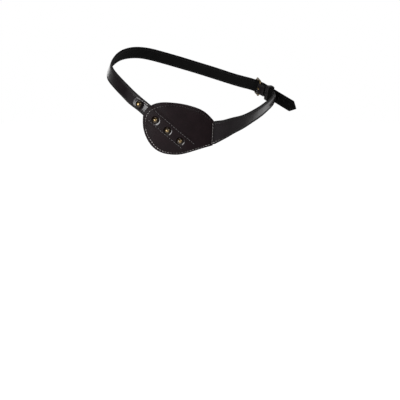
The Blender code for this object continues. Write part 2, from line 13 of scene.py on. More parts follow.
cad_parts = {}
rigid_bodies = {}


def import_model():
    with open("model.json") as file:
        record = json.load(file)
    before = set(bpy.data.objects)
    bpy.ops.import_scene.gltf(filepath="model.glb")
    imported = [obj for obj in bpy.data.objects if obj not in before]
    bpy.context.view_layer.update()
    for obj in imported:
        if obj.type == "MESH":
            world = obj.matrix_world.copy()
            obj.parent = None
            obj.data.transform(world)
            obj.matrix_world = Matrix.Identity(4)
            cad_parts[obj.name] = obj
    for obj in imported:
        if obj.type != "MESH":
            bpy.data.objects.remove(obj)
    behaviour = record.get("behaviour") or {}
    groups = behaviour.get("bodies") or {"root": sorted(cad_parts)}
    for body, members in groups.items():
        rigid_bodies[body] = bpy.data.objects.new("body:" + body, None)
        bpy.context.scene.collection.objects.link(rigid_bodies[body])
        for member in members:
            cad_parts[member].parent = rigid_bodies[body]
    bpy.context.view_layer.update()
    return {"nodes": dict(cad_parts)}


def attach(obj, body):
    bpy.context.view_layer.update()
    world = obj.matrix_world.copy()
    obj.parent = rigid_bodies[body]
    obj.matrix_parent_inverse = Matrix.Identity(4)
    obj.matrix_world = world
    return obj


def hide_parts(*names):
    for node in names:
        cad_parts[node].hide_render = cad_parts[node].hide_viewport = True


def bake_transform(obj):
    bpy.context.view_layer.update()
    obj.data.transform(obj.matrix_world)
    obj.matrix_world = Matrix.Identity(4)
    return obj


for old in list(bpy.data.objects):
    bpy.data.objects.remove(old, do_unlink=True)

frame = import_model()
rng = np.random.default_rng(11)

# ---------------------------------------------------------------- the part's own numbers
GAP = 0.3
FORM_A, FORM_B, FORM_UP, FORM_DOWN = 78.0, 100.0, 82.0, 130.0
STRAP_OFF = 0.4
PATCH_TOP = np.array([39.63, -88.91, -30.52])
PATCH_OUT = np.array([0.578, -0.803, -0.145])
PATCH_R_ACROSS, PATCH_R_UP = 78.0, 125.0
OUTLINE = [(35.3, 4.7), (29.3, 11.4), (22.5, 16.4), (14.0, 19.9), (5.0, 22.3),
           (-4.8, 23.6), (-14.0, 23.8), (-22.3, 22.0), (-28.6, 17.9),
           (-32.1, 12.3), (-33.0, 5.5), (-32.5, -1.6), (-29.3, -11.2),
           (-23.7, -19.3), (-16.2, -24.4), (-8.0, -26.4), (1.0, -26.7),
           (10.0, -25.0), (18.0, -22.9), (26.0, -20.9), (34.6, -19.3)]
STRAP_W = 12.5
PLY_0, STRAP_T = 1.0, 2.0
CROSSING = np.array([-29.5, 15.6])
BAND_DIR = np.array([0.760, -0.650])
BAND_ACROSS = np.array([0.650, 0.760])
TONGUE_LEN = 52.0
BAND_THREAD_OFF = 5.35
STUDS_UV = [(-21.2, 7.1), (-9.9, -2.5), (1.9, -12.6)]
BROW_STUD_AT = 9.4
STUD_R, STUD_LIP, STUD_H = 3.5, 0.45, 2.75
BROW_ROUTE = [(3.4, -8.3, 0), (-2.4, -2.8, 0), (-7.6, 2.6, 0), (-13.7, 8.1, 0), (-22.1, 14.1, -0.3),
              (-31.7, 19.5, -0.9), (-45.0, 26.1, -3.0), (-60.0, 31.8, -3.2), (-75.0, 36.5, -2.0),
              (-90.0, 38.6, -0.8), (-105.0, 37.8, -0.2), (-120.0, 33.8, 0), (-135.0, 28.2, 0),
              (-150.0, 21.8, 0), (-164.0, 15.6, 0)]
TEMPLE_ROUTE = [(58.7, -33.15, 0.5), (65.8, -29.85, 0.4), (73.5, -26.85, 0.2), (82.2, -22.45, 0),
                (92.8, -17.05, 0), (101.2, -12.95, 0), (109.4, -9.95, 0), (117.0, -7.9, 0)]
TEMPLE_TAPER = np.array([(-8.0, 7.9), (-2.0, 10.6), (0.0, 11.3), (3.0, 10.9), (6.0, 10.5),
                         (10.0, 9.9), (15.0, 9.2), (20.0, 8.6), (26.0, 8.0), (33.0, 7.25),
                         (41.0, 6.6), (50.0, 6.05), (62.0, 5.75), (75.0, 5.5), (90.0, 5.15),
                         (105.0, 5.0), (125.0, 5.15), (145.0, 5.45), (200.0, 5.6)])
BUCKLE_PHI, BUCKLE_Z, BUCKLE_SLOPE = 156.0, -0.4, 0.30
BUCKLE_OFF, BUCKLE_TOUCH = 2.7, 6.0
BAR_R, FRAME_INNER = 1.0, 13.4
OUTER_BAR = np.array([-12.5, 3.5])
ROLLER_IN, ROLLER_OUT, ROLLER_LEN = 1.3, 1.75, 11.4
PRONG_R, PRONG_PAST = 0.7, 2.2
OVER_FOLD = 3.0
FOLD_N = 0.3
KEEPER_AT, KEEPER_W, KEEPER_T = 15.5, 5.0, 1.3
TAIL_HINGE, TAIL_TIP, TAIL_POINT = 23.0, 65.5, (6.0, 10.5)
TAIL_HOLES = [33.0, 43.0, 53.0]
D_LINING = 4.0
D_STRAP = 3.4
TAIL_SPLIT = 16.0               # the strap's last piece starts here, under the keeper


def unit(v):
    v = np.asarray(v, float)
    return v / np.linalg.norm(v, axis=-1, keepdims=True)


def smooth(lo, hi, x):
    t = np.clip((np.asarray(x, float) - lo) / (hi - lo), 0, 1)
    return t * t * (3 - 2 * t)


def form(phi, z, off=0.0):
    c = FORM_UP if z > 0 else FORM_DOWN
    s = math.sqrt(1 - (z / c) ** 2)
    a = math.radians(phi)
    p = np.array([FORM_A * s * math.sin(a), -FORM_B * s * math.cos(a), z])
    g = unit([p[0] / FORM_A ** 2, p[1] / FORM_B ** 2, p[2] / c ** 2])
    return p + off * g, g


P_N = unit(PATCH_OUT)
P_U = unit(np.cross([0, 0, 1], P_N))
P_V = np.cross(P_N, P_U)


def dome(u, v, depth=0.0):
    """Points and outward directions on the patch dome, at depths under its face."""
    u, v, depth = np.broadcast_arrays(np.asarray(u, float), np.asarray(v, float),
                                      np.asarray(depth, float))
    g = unit(P_N + P_U * u[..., None] / PATCH_R_ACROSS + P_V * v[..., None] / PATCH_R_UP)
    sag = u * u / (2 * PATCH_R_ACROSS) + v * v / (2 * PATCH_R_UP)
    p = (PATCH_TOP + P_U * u[..., None] + P_V * v[..., None]
         - P_N * sag[..., None] - g * depth[..., None])
    return p, g


touch, g0 = form(BUCKLE_PHI, BUCKLE_Z, BUCKLE_OFF)
K_N = unit([g0[0], g0[1], 0])
K_T = unit(np.array([K_N[1], -K_N[0], 0]) + np.array([0, 0, -BUCKLE_SLOPE]))
K_B = np.cross(K_T, K_N)
K_O = touch - BUCKLE_TOUCH * K_T


def at_buckle(t, n, b=0.0):
    return K_O + K_T * t + K_N * n + K_B * b


def natural_spline(points, knots, where):
    y = np.asarray(points, float)
    k = np.asarray(knots, float)
    n = len(k)
    h = np.diff(k)
    m = np.zeros((n, n))
    r = np.zeros((n, y.shape[1]))
    m[0, 0] = m[-1, -1] = 1
    for i in range(1, n - 1):
        m[i, i - 1], m[i, i], m[i, i + 1] = h[i - 1], 2 * (h[i - 1] + h[i]), h[i]
        r[i] = 6 * ((y[i + 1] - y[i]) / h[i] - (y[i] - y[i - 1]) / h[i - 1])
    d2 = np.linalg.solve(m, r)
    x = np.asarray(where, float)
    i = np.clip(np.searchsorted(k, x) - 1, 0, n - 2)
    a = ((k[i + 1] - x) / h[i])[:, None]
    b = ((x - k[i]) / h[i])[:, None]
    return a * y[i] + b * y[i + 1] + ((a ** 3 - a) * d2[i] + (b ** 3 - b) * d2[i + 1]) * h[i][:, None] ** 2 / 6


class Route:
    """A smooth strap line through stations (point, outward direction)."""

    def __init__(self, stations):
        self.p = np.array([s[0] for s in stations])
        self.g = np.array([s[1] for s in stations])
        self.knots = np.concatenate([[0], np.cumsum(np.linalg.norm(np.diff(self.p, axis=0), axis=1))])
        self.fine = np.linspace(0, self.knots[-1], 4000)
        self.q = natural_spline(self.p, self.knots, self.fine)
        self.run = np.concatenate([[0], np.cumsum(np.linalg.norm(np.diff(self.q, axis=0), axis=1))])
        self.length = self.run[-1]

    def nearest(self, point):
        return float(self.run[int(np.argmin(np.linalg.norm(self.q - point, axis=1)))])

    def at(self, s):
        """Points, outward and up-pointing width directions at distances along it."""
        s = np.atleast_1d(np.asarray(s, float))
        w = np.interp(s, self.run, self.fine)
        pts = natural_spline(self.p, self.knots, w)
        out = natural_spline(self.g, self.knots, w)
        tan = (natural_spline(self.p, self.knots, np.clip(w + 0.05, 0, self.knots[-1]))
               - natural_spline(self.p, self.knots, np.clip(w - 0.05, 0, self.knots[-1])))
        tan = unit(tan)
        out = unit(out - tan * np.sum(out * tan, axis=1)[:, None])
        wid = np.cross(tan, out)
        wid *= np.where(wid[:, 2:3] < 0, -1, 1)
        return pts, out, wid


# ---------------------------------------------------------------- material tools
def node(tree, kind, at=None, **values):
    n = tree.nodes.new(kind)
    for key, value in values.items():
        setattr(n, key, value)
    return n


def fill(n, **values):
    for key, value in values.items():
        n.inputs[key.replace("_", " ")].default_value = value
    return n


def start(name):
    m = bpy.data.materials.new(name)
    m.use_nodes = True
    tree = m.node_tree
    return m, tree, tree.nodes["Principled BSDF"]


def rest_vector(tree, scale=(1, 1, 1)):
    """The piece's own points at rest, in millimetres."""
    a = node(tree, "ShaderNodeAttribute", attribute_name="rest")
    m = node(tree, "ShaderNodeVectorMath", operation="MULTIPLY")
    m.inputs[1].default_value = scale
    tree.links.new(a.outputs["Vector"], m.inputs[0])
    return m.outputs[0]


def noise_tex(tree, vector, scale, detail=3.0, rough=0.55):
    n = node(tree, "ShaderNodeTexNoise")
    fill(n, Scale=scale, Detail=detail, Roughness=rough)
    tree.links.new(vector, n.inputs["Vector"])
    return n.outputs["Fac"]


def ramp(tree, value, lo, hi, out_lo=0.0, out_hi=1.0):
    n = node(tree, "ShaderNodeMapRange")
    n.inputs["From Min"].default_value = lo
    n.inputs["From Max"].default_value = hi
    n.inputs["To Min"].default_value = out_lo
    n.inputs["To Max"].default_value = out_hi
    tree.links.new(value, n.inputs["Value"])
    return n.outputs["Result"]


def math_node(tree, op, a, b):
    n = node(tree, "ShaderNodeMath", operation=op)
    for i, x in enumerate((a, b)):
        if hasattr(x, "is_output"):
            tree.links.new(x, n.inputs[i])
        else:
            n.inputs[i].default_value = x
    return n.outputs[0]


def blend_colour(tree, fac, a, b):
    n = node(tree, "ShaderNodeMix", data_type="RGBA")
    if hasattr(fac, "is_output"):
        tree.links.new(fac, n.inputs[0])
    else:
        n.inputs[0].default_value = fac
    for i, x in ((6, a), (7, b)):
        if hasattr(x, "is_output"):
            tree.links.new(x, n.inputs[i])
        else:
            n.inputs[i].default_value = (*x, 1)
    return n.outputs[2]


def attribute(tree, name):
    return node(tree, "ShaderNodeAttribute", attribute_name=name).outputs["Fac"]


def bump(tree, height, strength, distance, normal=None):
    n = node(tree, "ShaderNodeBump")
    n.inputs["Strength"].default_value = strength
    n.inputs["Distance"].default_value = distance
    tree.links.new(height, n.inputs["Height"])
    if normal is not None:
        tree.links.new(normal, n.inputs["Normal"])
    return n.outputs["Normal"]


def leather(name, dark, light, edge, rough, grain, depth, spec=0.5, mottle=0.11):
    """Pebbled leather: grain is the pebble size, depth the crease depth in metres."""
    m, tree, b = start(name)
    v = rest_vector(tree)
    wobble = node(tree, "ShaderNodeTexNoise")
    fill(wobble, Scale=0.9 / grain, Detail=2.0)
    tree.links.new(v, wobble.inputs["Vector"])
    shift = node(tree, "ShaderNodeVectorMath", operation="MULTIPLY_ADD")
    shift.inputs[1].default_value = (0.5 * grain,) * 3
    tree.links.new(wobble.outputs["Color"], shift.inputs[0])
    tree.links.new(v, shift.inputs[2])
    cells = node(tree, "ShaderNodeTexVoronoi", feature="DISTANCE_TO_EDGE")
    fill(cells, Scale=1.0 / grain)
    tree.links.new(shift.outputs[0], cells.inputs["Vector"])
    crease = ramp(tree, cells.outputs["Distance"], 0.0, 0.32)
    fine = noise_tex(tree, v, 5.0, 2.0)
    big = noise_tex(tree, v, mottle, 3.0)
    patchy = ramp(tree, big, 0.35, 0.65)
    colour = blend_colour(tree, patchy, dark, light)
    dim = ramp(tree, crease, 0.0, 1.0, 0.72, 1.0)
    shade = node(tree, "ShaderNodeMix", data_type="RGBA", blend_type="MULTIPLY")
    shade.inputs[0].default_value = 1.0
    tree.links.new(colour, shade.inputs[6])
    grey = node(tree, "ShaderNodeCombineColor")
    for i in range(3):
        tree.links.new(dim, grey.inputs[i])
    tree.links.new(grey.outputs[0], shade.inputs[7])
    # edge: the dyed cut edges, and painted shade on the patch's outer rim rings and the straps' pressed borders;
    # rougher there too
    blend_in = attribute(tree, "edge")
    final = blend_colour(tree, blend_in, shade.outputs[2], edge)
    tree.links.new(final, b.inputs["Base Color"])
    polish = attribute(tree, "polish")
    r = math_node(tree, "ADD", ramp(tree, big, 0.3, 0.7, rough - 0.05, rough + 0.06),
                  math_node(tree, "MULTIPLY", blend_in, 0.9 - rough))
    r = math_node(tree, "SUBTRACT", r, math_node(tree, "MULTIPLY", polish, 0.35 * rough))
    tree.links.new(r, b.inputs["Roughness"])
    height = math_node(tree, "ADD", math_node(tree, "MULTIPLY", crease, 0.75),
                       math_node(tree, "MULTIPLY", fine, 0.25))
    # leather pulled tight round a stud loses its grain and shines
    tree.links.new(polish, b.inputs["Coat Weight"])
    b.inputs["Coat Roughness"].default_value = 0.14
    b.inputs["Coat IOR"].default_value = 1.62
    height = math_node(tree, "MULTIPLY", height, ramp(tree, polish, 0.0, 1.0, 1.0, 0.3))
    tree.links.new(bump(tree, height, 1.0, depth), b.inputs["Normal"])
    b.inputs["Specular IOR Level"].default_value = spec
    return m


def suede(name, dark, light, rough, nap, depth, sheen=0.0):
    m, tree, b = start(name)
    v = rest_vector(tree)
    fibre = noise_tex(tree, v, nap, 4.0, 0.65)
    big = noise_tex(tree, v, 0.16, 3.0)
    mixed = math_node(tree, "ADD", math_node(tree, "MULTIPLY", fibre, 0.6), math_node(tree, "MULTIPLY", big, 0.4))
    tree.links.new(blend_colour(tree, ramp(tree, mixed, 0.35, 0.65), dark, light), b.inputs["Base Color"])
    b.inputs["Roughness"].default_value = rough
    b.inputs["Specular IOR Level"].default_value = 0.12
    if sheen:
        b.inputs["Sheen Weight"].default_value = sheen
        b.inputs["Sheen Roughness"].default_value = 0.5
    tree.links.new(bump(tree, fibre, 1.0, depth), b.inputs["Normal"])
    return m


def brass(name, bright, dull, rough, lacquer=0.0):
    """Antique metal: dark where the patina attribute and the stains say so. On the stud tops the bright spot that
    attribute leaves is partly a painted highlight.
    """
    m, tree, b = start(name)
    v = rest_vector(tree)
    stain = noise_tex(tree, v, 0.9, 4.0, 0.6)
    spots = noise_tex(tree, v, 4.5, 2.0)
    dark = math_node(tree, "ADD", attribute(tree, "patina"), ramp(tree, stain, 0.5, 0.78, 0.0, 0.40))
    dark = math_node(tree, "MINIMUM", dark, 1.0)
    tree.links.new(blend_colour(tree, dark, bright, dull), b.inputs["Base Color"])
    b.inputs["Metallic"].default_value = 1.0
    b.inputs["Coat Weight"].default_value = lacquer
    b.inputs["Coat Roughness"].default_value = 0.10
    r = math_node(tree, "ADD", ramp(tree, spots, 0.3, 0.7, rough - 0.05, rough + 0.08),
                  math_node(tree, "MULTIPLY", dark, 0.16))
    tree.links.new(r, b.inputs["Roughness"])
    both = math_node(tree, "ADD", math_node(tree, "MULTIPLY", stain, 0.7), math_node(tree, "MULTIPLY", spots, 0.3))
    tree.links.new(bump(tree, both, 1.0, 0.00002), b.inputs["Normal"])
    return m


def thread(name, dark, light, rough, blend_in=None):
    """Two-ply thread: the twist attribute counts turns round and along it. With the extra pale colours, the pale
    attribute says how far the thread's colour goes over to them: a painted highlight, glints painted into the colour."""
    m, tree, b = start(name)
    turn = attribute(tree, "twist")
    wave = math_node(tree, "SINE", math_node(tree, "MULTIPLY", turn, 2 * math.pi), 0.0)
    ply = ramp(tree, wave, -1.0, 1.0)
    fuzz = noise_tex(tree, rest_vector(tree), 6.0, 2.0)
    tone = math_node(tree, "ADD", math_node(tree, "MULTIPLY", ply, 0.7), math_node(tree, "MULTIPLY", fuzz, 0.3))
    colour = blend_colour(tree, tone, dark, light)
    # the pale colours are a painted highlight: glints painted into the thread's colour
    if blend_in is not None:
        colour = blend_colour(tree, attribute(tree, "pale"), colour, blend_colour(tree, tone, *blend_in))
    tree.links.new(colour, b.inputs["Base Color"])
    b.inputs["Roughness"].default_value = rough
    b.inputs["Specular IOR Level"].default_value = 0.35
    tree.links.new(bump(tree, tone, 1.0, 0.00005), b.inputs["Normal"])
    return m


PATCH_LEATHER = leather("patch_leather_fine", (0.0083, 0.0028, 0.0042), (0.0122, 0.0045, 0.0064),
                        (0.0065, 0.0042, 0.0042), 0.50, 0.95, 0.00004, spec=0.17)
STRAP_LEATHER = leather("strap_leather_fine", (0.0164, 0.0116, 0.0140), (0.0226, 0.0166, 0.0198),
                        (0.0050, 0.0042, 0.0040), 0.24, 0.55, 0.000012, spec=0.55, mottle=0.07)
BACKING = suede("backing_fine", (0.0032, 0.0031, 0.0031), (0.0068, 0.0065, 0.0064), 0.92, 2.6, 0.00006)
LINING = suede("lining_fine", (0.0085, 0.0080, 0.0080), (0.0200, 0.0185, 0.0185), 0.95, 3.2, 0.00010, sheen=0.25)
BOARD = suede("board_fine", (0.11, 0.085, 0.060), (0.19, 0.15, 0.11), 0.9, 2.0, 0.00008)
BRASS = brass("antique_brass_fine", (0.47, 0.325, 0.125), (0.034, 0.018, 0.0045), 0.26, 0.9)
STEEL = brass("rivet_metal_fine", (0.42, 0.38, 0.30), (0.16, 0.13, 0.09), 0.38)
# the pale colour pairs below paint glints on these threads wherever the pale attribute is set
THREAD = thread("thread_grey", (0.020, 0.018, 0.018), (0.045, 0.041, 0.041), 0.65,
                blend_in=((0.45, 0.42, 0.41), (0.95, 0.90, 0.88)))
THREAD_DIM = thread("thread_dim", (0.054, 0.051, 0.053), (0.24, 0.23, 0.235), 0.6)
THREAD_BLACK = thread("thread_black", (0.006, 0.006, 0.006), (0.020, 0.019, 0.020), 0.55,
                      blend_in=((0.45, 0.42, 0.41), (0.95, 0.90, 0.88)))


# ---------------------------------------------------------------- mesh tools
def set_point_attribute(me, name, kind, data):
    a = me.attributes.get(name) or me.attributes.new(name, kind, "POINT")
    a.data.foreach_set("vector" if kind == "FLOAT_VECTOR" else "value",
                       np.ascontiguousarray(data, np.float32).ravel())


def store_rest(ob):
    co = np.zeros(len(ob.data.vertices) * 3, np.float32)
    ob.data.vertices.foreach_get("co", co)
    set_point_attribute(ob.data, "rest", "FLOAT_VECTOR", co * 1000)


def make(name, verts, faces, look, sharp=60, **attributes):
    """A mesh object from points in millimetres, with its point attributes."""
    me = bpy.data.meshes.new(name)
    me.from_pydata((np.asarray(verts, float) * 0.001).tolist(), [], faces)
    bm = bmesh.new()
    bm.from_mesh(me)
    bmesh.ops.recalc_face_normals(bm, faces=bm.faces)
    bm.to_mesh(me)
    bm.free()
    me.shade_smooth()
    me.set_sharp_from_angle(angle=math.radians(sharp))
    me.materials.append(look)
    ob = bpy.data.objects.new(name, me)
    bpy.context.scene.collection.objects.link(ob)
    store_rest(ob)
    for key, data in attributes.items():
        set_point_attribute(me, key, "FLOAT", data)
    return ob


def show(ob, body, slot, *nodes):
    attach(ob, body)
    if nodes:
        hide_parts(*nodes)
    return ob


def loft_faces(rows, k, closed=False, capped=True):
    """Quads between rows of k points each, rows joined end to end if closed."""
    faces = []
    for i in range(rows if closed else rows - 1):
        a, b = i * k, ((i + 1) % rows) * k
        for j in range(k):
            j2 = (j + 1) % k
            faces.append((a + j, a + j2, b + j2, b + j))
    if not closed and capped:
        faces.append(tuple(range(k)))
        faces.append(tuple((rows - 1) * k + j for j in range(k)))
    return faces


def carve(ob, cutters):
    """Cuts closed meshes out of ob, and takes the cutters away."""
    for c in cutters:
        m = ob.modifiers.new("cut", "BOOLEAN")
        m.operation, m.solver, m.object = "DIFFERENCE", "EXACT", c
    deps = bpy.context.evaluated_depsgraph_get()
    me = bpy.data.meshes.new_from_object(ob.evaluated_get(deps))
    ob.modifiers.clear()
    ob.data = me
    me.set_sharp_from_angle(angle=math.radians(50))
    for c in cutters:
        bpy.data.objects.remove(c, do_unlink=True)
    store_rest(ob)
    return ob


def prism(name, ring_lo, ring_hi):
    k = len(ring_lo)
    return make(name, np.concatenate([ring_lo, ring_hi]), loft_faces(2, k), BOARD)


def turned(name, profile, base, axis, look, count, **attributes):
    """A body turned from (radius, height) points that start and end on the axis.
    An attribute is one value per profile point."""
    axis = unit(axis)
    a = unit(np.cross(axis, [0.3, 0.2, 0.9]))
    b = np.cross(axis, a)
    verts, faces, rows, source = [], [], [], []
    for i, (r, h) in enumerate(profile):
        if r < 1e-6:
            rows.append([len(verts)])
            verts.append(base + axis * h)
            source.append(i)
        else:
            rows.append(list(range(len(verts), len(verts) + count)))
            for k in range(count):
                t = 2 * math.pi * k / count
                verts.append(base + axis * h + r * (a * math.cos(t) + b * math.sin(t)))
                source.append(i)
    for lo, hi in zip(rows[:-1], rows[1:]):
        for k in range(count):
            k2 = (k + 1) % count
            if len(lo) == 1:
                faces.append((lo[0], hi[k], hi[k2]))
            elif len(hi) == 1:
                faces.append((lo[k], lo[k2], hi[0]))
            else:
                faces.append((lo[k], lo[k2], hi[k2], hi[k]))
    data = {key: np.asarray(x)[source] for key, x in attributes.items()}
    return make(name, verts, faces, look, **data)


def tube(name, path, radii, look, count, up_hint, closed=False, **attributes):
    path = np.asarray(path, float)
    n = len(path)
    tan = np.roll(path, -1, axis=0) - np.roll(path, 1, axis=0) if closed else np.gradient(path, axis=0)
    tan = unit(tan)
    side = unit(np.cross(tan, up_hint))
    up = np.cross(side, tan)
    ang = 2 * math.pi * np.arange(count) / count
    rad = np.broadcast_to(np.asarray(radii, float), (n,))
    ring = (path[:, None] + rad[:, None, None] * (side[:, None] * np.cos(ang)[None, :, None]
                                                  + up[:, None] * np.sin(ang)[None, :, None]))
    data = {key: np.repeat(np.broadcast_to(np.asarray(x, float), (n,)), count) for key, x in attributes.items()}
    return make(name, ring.reshape(-1, 3), loft_faces(n, count, closed), look, **data)


def sew(name, starts, ends, outs, look, size=0.26, jitter=0.05, pale=0.0):
    """Single stitches lying on a face between points on it; pale is one value
    for each stitch, or one for all."""
    starts, ends, outs = (np.asarray(x, float).copy() for x in (starts, ends, outs))
    n = len(starts)
    t = np.array([0.0, 0.1, 0.26, 0.42, 0.58, 0.74, 0.9, 1.0])
    lift = np.array([-0.42, -0.02, 0.62, 0.8, 0.8, 0.62, -0.02, -0.42]) * size
    rad = np.array([0.6, 0.82, 0.97, 1.0, 1.0, 0.97, 0.82, 0.6]) * size
    k = 8
    along = unit(ends - starts)
    side = unit(np.cross(outs, along))
    starts += side * rng.normal(0, jitter, (n, 1))
    ends += side * rng.normal(0, jitter, (n, 1))
    along = unit(ends - starts)
    side = unit(np.cross(outs, along))
    up = np.cross(along, side)
    path = starts[:, None] + (ends - starts)[:, None] * t[None, :, None] + outs[:, None] * lift[None, :, None]
    ang = 2 * math.pi * (np.arange(k) / k) - math.pi / 2
    ring = path[:, :, None] + rad[None, :, None, None] * (
        side[:, None, None] * np.cos(ang)[None, None, :, None] + up[:, None, None] * np.sin(ang)[None, None, :, None])
    verts = ring.reshape(-1, 3)
    one = loft_faces(len(t), k)
    step = len(t) * k
    faces = [tuple(i + s * step for i in f) for s in range(n) for f in one]
    length = np.linalg.norm(ends - starts, axis=1)
    twist = (t[None, :, None] * (length / (size * 3.6))[:, None, None] + (np.arange(k) / k)[None, None, :] * 2)
    pale = np.repeat(np.broadcast_to(np.asarray(pale, float), (n,)), step)
    return make(name, verts, faces, look, twist=twist.ravel(), pale=pale)


def along_line(points, outs, pitch, fill_share=0.72, phase=0.5):
    """Start and end points of stitches of a pitch along a dense line."""
    run = np.concatenate([[0], np.cumsum(np.linalg.norm(np.diff(points, axis=0), axis=1))])
    count = max(1, int(run[-1] / pitch))
    pitch = run[-1] / count
    mid = (np.arange(count) + phase) * pitch
    def read(a, s):
        return np.stack([np.interp(s, run, a[:, i]) for i in range(3)], 1)
    half = pitch * fill_share / 2
    return read(points, mid - half), read(points, mid + half), unit(read(outs, mid))


# ---------------------------------------------------------------- patch outline
def closed_outline(count):
    """The patch's outline as evenly spaced (u, v), its two seam corners eased."""
    p = np.array(OUTLINE)
    knots = np.concatenate([[0], np.cumsum(np.linalg.norm(np.diff(p, axis=0), axis=1))])
    curve = natural_spline(p, knots, np.linspace(0, knots[-1], 1600))
    seam = curve[-1] + (curve[0] - curve[-1]) * np.linspace(0, 1, 220)[1:-1, None]
    loop = np.concatenate([curve, seam])
    run = np.concatenate([[0], np.cumsum(np.linalg.norm(np.diff(np.concatenate([loop, loop[:1]]), axis=0), axis=1))])
    ring = np.concatenate([loop, loop[:1]])
    s = np.linspace(0, run[-1], 2001)[:-1]
    even = np.stack([np.interp(s, run, ring[:, 0]), np.interp(s, run, ring[:, 1])], 1)
    for _ in range(40):
        even = 0.25 * np.roll(even, 1, 0) + 0.5 * even + 0.25 * np.roll(even, -1, 0)
    pick = np.linspace(0, len(even), count, endpoint=False).astype(int)
    return even, even[pick]


DENSE, _ = closed_outline(400)


def rim_distance(uv):
    """Distance of points (u, v) from the outline, and where along it that is."""
    flat = uv.reshape(-1, 2)
    out = np.empty(len(flat))
    where = np.empty(len(flat), int)
    for i in range(0, len(flat), 2000):
        d = np.linalg.norm(flat[i:i + 2000, None] - DENSE[None], axis=2)
        where[i:i + 2000] = d.argmin(1)
        out[i:i + 2000] = d.min(1)
    return out.reshape(uv.shape[:-1]), where.reshape(uv.shape[:-1])


def band_coords(uv):
    r = uv - CROSSING
    return r @ BAND_DIR, r @ BAND_ACROSS


RIM_TURN = [0, 20, 45, 75, 104, 114, 126, 140, 150, 160, 170,
            180, 190, 200, 210, 220, 232, 248, 270, 315, 332, 360]
RIM_INSET = [2.2, 2.75, 2.9, 2.5, 2.5, 2.95, 3.75, 4.1, 3.75, 3.4, 2.9,
             2.45, 2.25, 2.6, 2.8, 2.6, 2.2, 1.95, 1.85, 1.85, 2.1, 2.2]
SEAM_THREAD_IN, SEAM_FOLD_IN = 1.35, 2.5
STITCH = 2.65
STUD_DISH = [11.5, 21.0, 32.0]  # how steeply the leather runs down to each stud, degrees


def noise_at(points, scale, seed=0.0):
    return np.array([noise.noise(Vector((p[0] * scale + seed, p[1] * scale, p[2] * scale if len(p) > 2 else seed)))
                     for p in points.reshape(-1, points.shape[-1])]).reshape(points.shape[:-1])


def stud_side(ang):
    """How far a direction round a stud points to its lower outer side."""
    return smooth(0.15, 0.9, np.cos(ang + 0.58))


def rim_inset(uv):
    """How far in from the edge the rim's stitch line stands, by direction."""
    turn = np.degrees(np.arctan2(uv[..., 1], uv[..., 0])) % 360
    inset = np.interp(turn, RIM_TURN, RIM_INSET)
    return inset + (1.75 - inset) * smooth(30.0, 31.8, uv[..., 0])


def cover_height(uv, e):
    """Height of the leather face above the plain dome: the band over the strap,
    the stitch grooves, the dimples at the studs and the eased rim."""
    s, d = band_coords(uv)
    fade = 1 - smooth(50.0, 57.5, s)
    band = (1 - smooth(5.2, 8.4, np.abs(d))) * fade
    h = 0.46 * band + 0.12 * (1 - (np.clip(np.abs(d), 0, 5) / 5) ** 2) * fade
    # grooves under the two stitch lines beside the band
    inside = smooth(3.6, 6.6, s) * (1 - smooth(52.0, 56.5, s))
    h -= 0.36 * np.exp(-((np.abs(d) - BAND_THREAD_OFF) / 0.36) ** 2) * inside
    # the leather between the stitch line and the stud puffs up a little
    for (u0, v0), slope in zip(STUDS_UV, STUD_DISH):
        r = np.linalg.norm(uv - np.array([u0, v0]), axis=-1)
        off = uv - np.array([u0 + 0.12, v0 - 0.55])
        rd = np.linalg.norm(off, axis=-1)
        ang = np.arctan2(off[..., 1], off[..., 0])
        rd = rd + 0.10 * np.sin(3 * ang + u0) + 0.05 * np.sin(5 * ang + v0)
        foot = 0.80 * math.tan(math.radians(slope)) * (0.35 + 0.65 * stud_side(ang))
        wall = foot * np.interp(rd, [0.0, 3.42, 4.08, 4.3, 4.9, 6.0], [1.0, 1.0, 0.08, 0.0, -0.12, 0.0])
        h -= np.maximum(np.interp(r, [0.0, 3.35, 3.75], [0.76, 0.76, -0.2]), wall)
    # the turned-in fold beside the temple seam
    a, z = np.array(OUTLINE[-1]), np.array(OUTLINE[0])
    along = (z - a) / np.linalg.norm(z - a)
    across = np.array([-along[1], along[0]])
    t = (uv - a) @ along / np.linalg.norm(z - a)
    w = (uv - a) @ across
    h -= 0.55 * np.exp(-((w - SEAM_FOLD_IN) / 0.42) ** 2) * smooth(0.02, 0.10, t) * (1 - smooth(0.92, 0.99, t))
    # rim: pulled in by the stitching, rounded at the edge
    h -= 0.42 * (1 - smooth(0.2, 2.0 + 0.75 * rim_inset(uv), e)) * (1 - 0.35 * band)
    h -= 0.32 * np.exp(-((e - rim_inset(uv)) / 0.40) ** 2)
    r0 = 0.55
    x = np.clip(r0 - e, 0, r0)
    h -= r0 - np.sqrt(np.maximum(r0 * r0 - x * x, 0))
    # hand-made unevenness
    h += 0.16 * noise_at(uv, 0.085, 3.1) + 0.05 * noise_at(uv, 0.24, 7.7)
    return h


# ---------------------------------------------------------------- patch cover
def rim_masks(ring):
    """How far a rim point lies at the strap's crossing and at the temple seam."""
    s, d = band_coords(ring)
    cross = (1 - smooth(5.6, 7.4, np.abs(d))) * (1 - smooth(6.0, 12.0, s))
    seam = smooth(32.0, 33.6, ring[:, 0])
    return cross, seam


NB = 420
_, RING = closed_outline(NB)
CENTRE = np.array([0.0, -1.0])
shares = np.concatenate([1 - 0.0115 * np.arange(0, 14), np.linspace(0.85, 0.02, 104)[1:]])
grid = CENTRE + (RING - CENTRE)[None] * shares[:, None, None]
e_grid, _ = rim_distance(grid)
e_grid[0] = 0.0
h_grid = cover_height(grid, e_grid)
top, top_g = dome(grid[..., 0], grid[..., 1], -h_grid)
cross_m, seam_m = rim_masks(RING)
wall_low = 2.15 - 0.70 * cross_m - 0.45 * seam_m
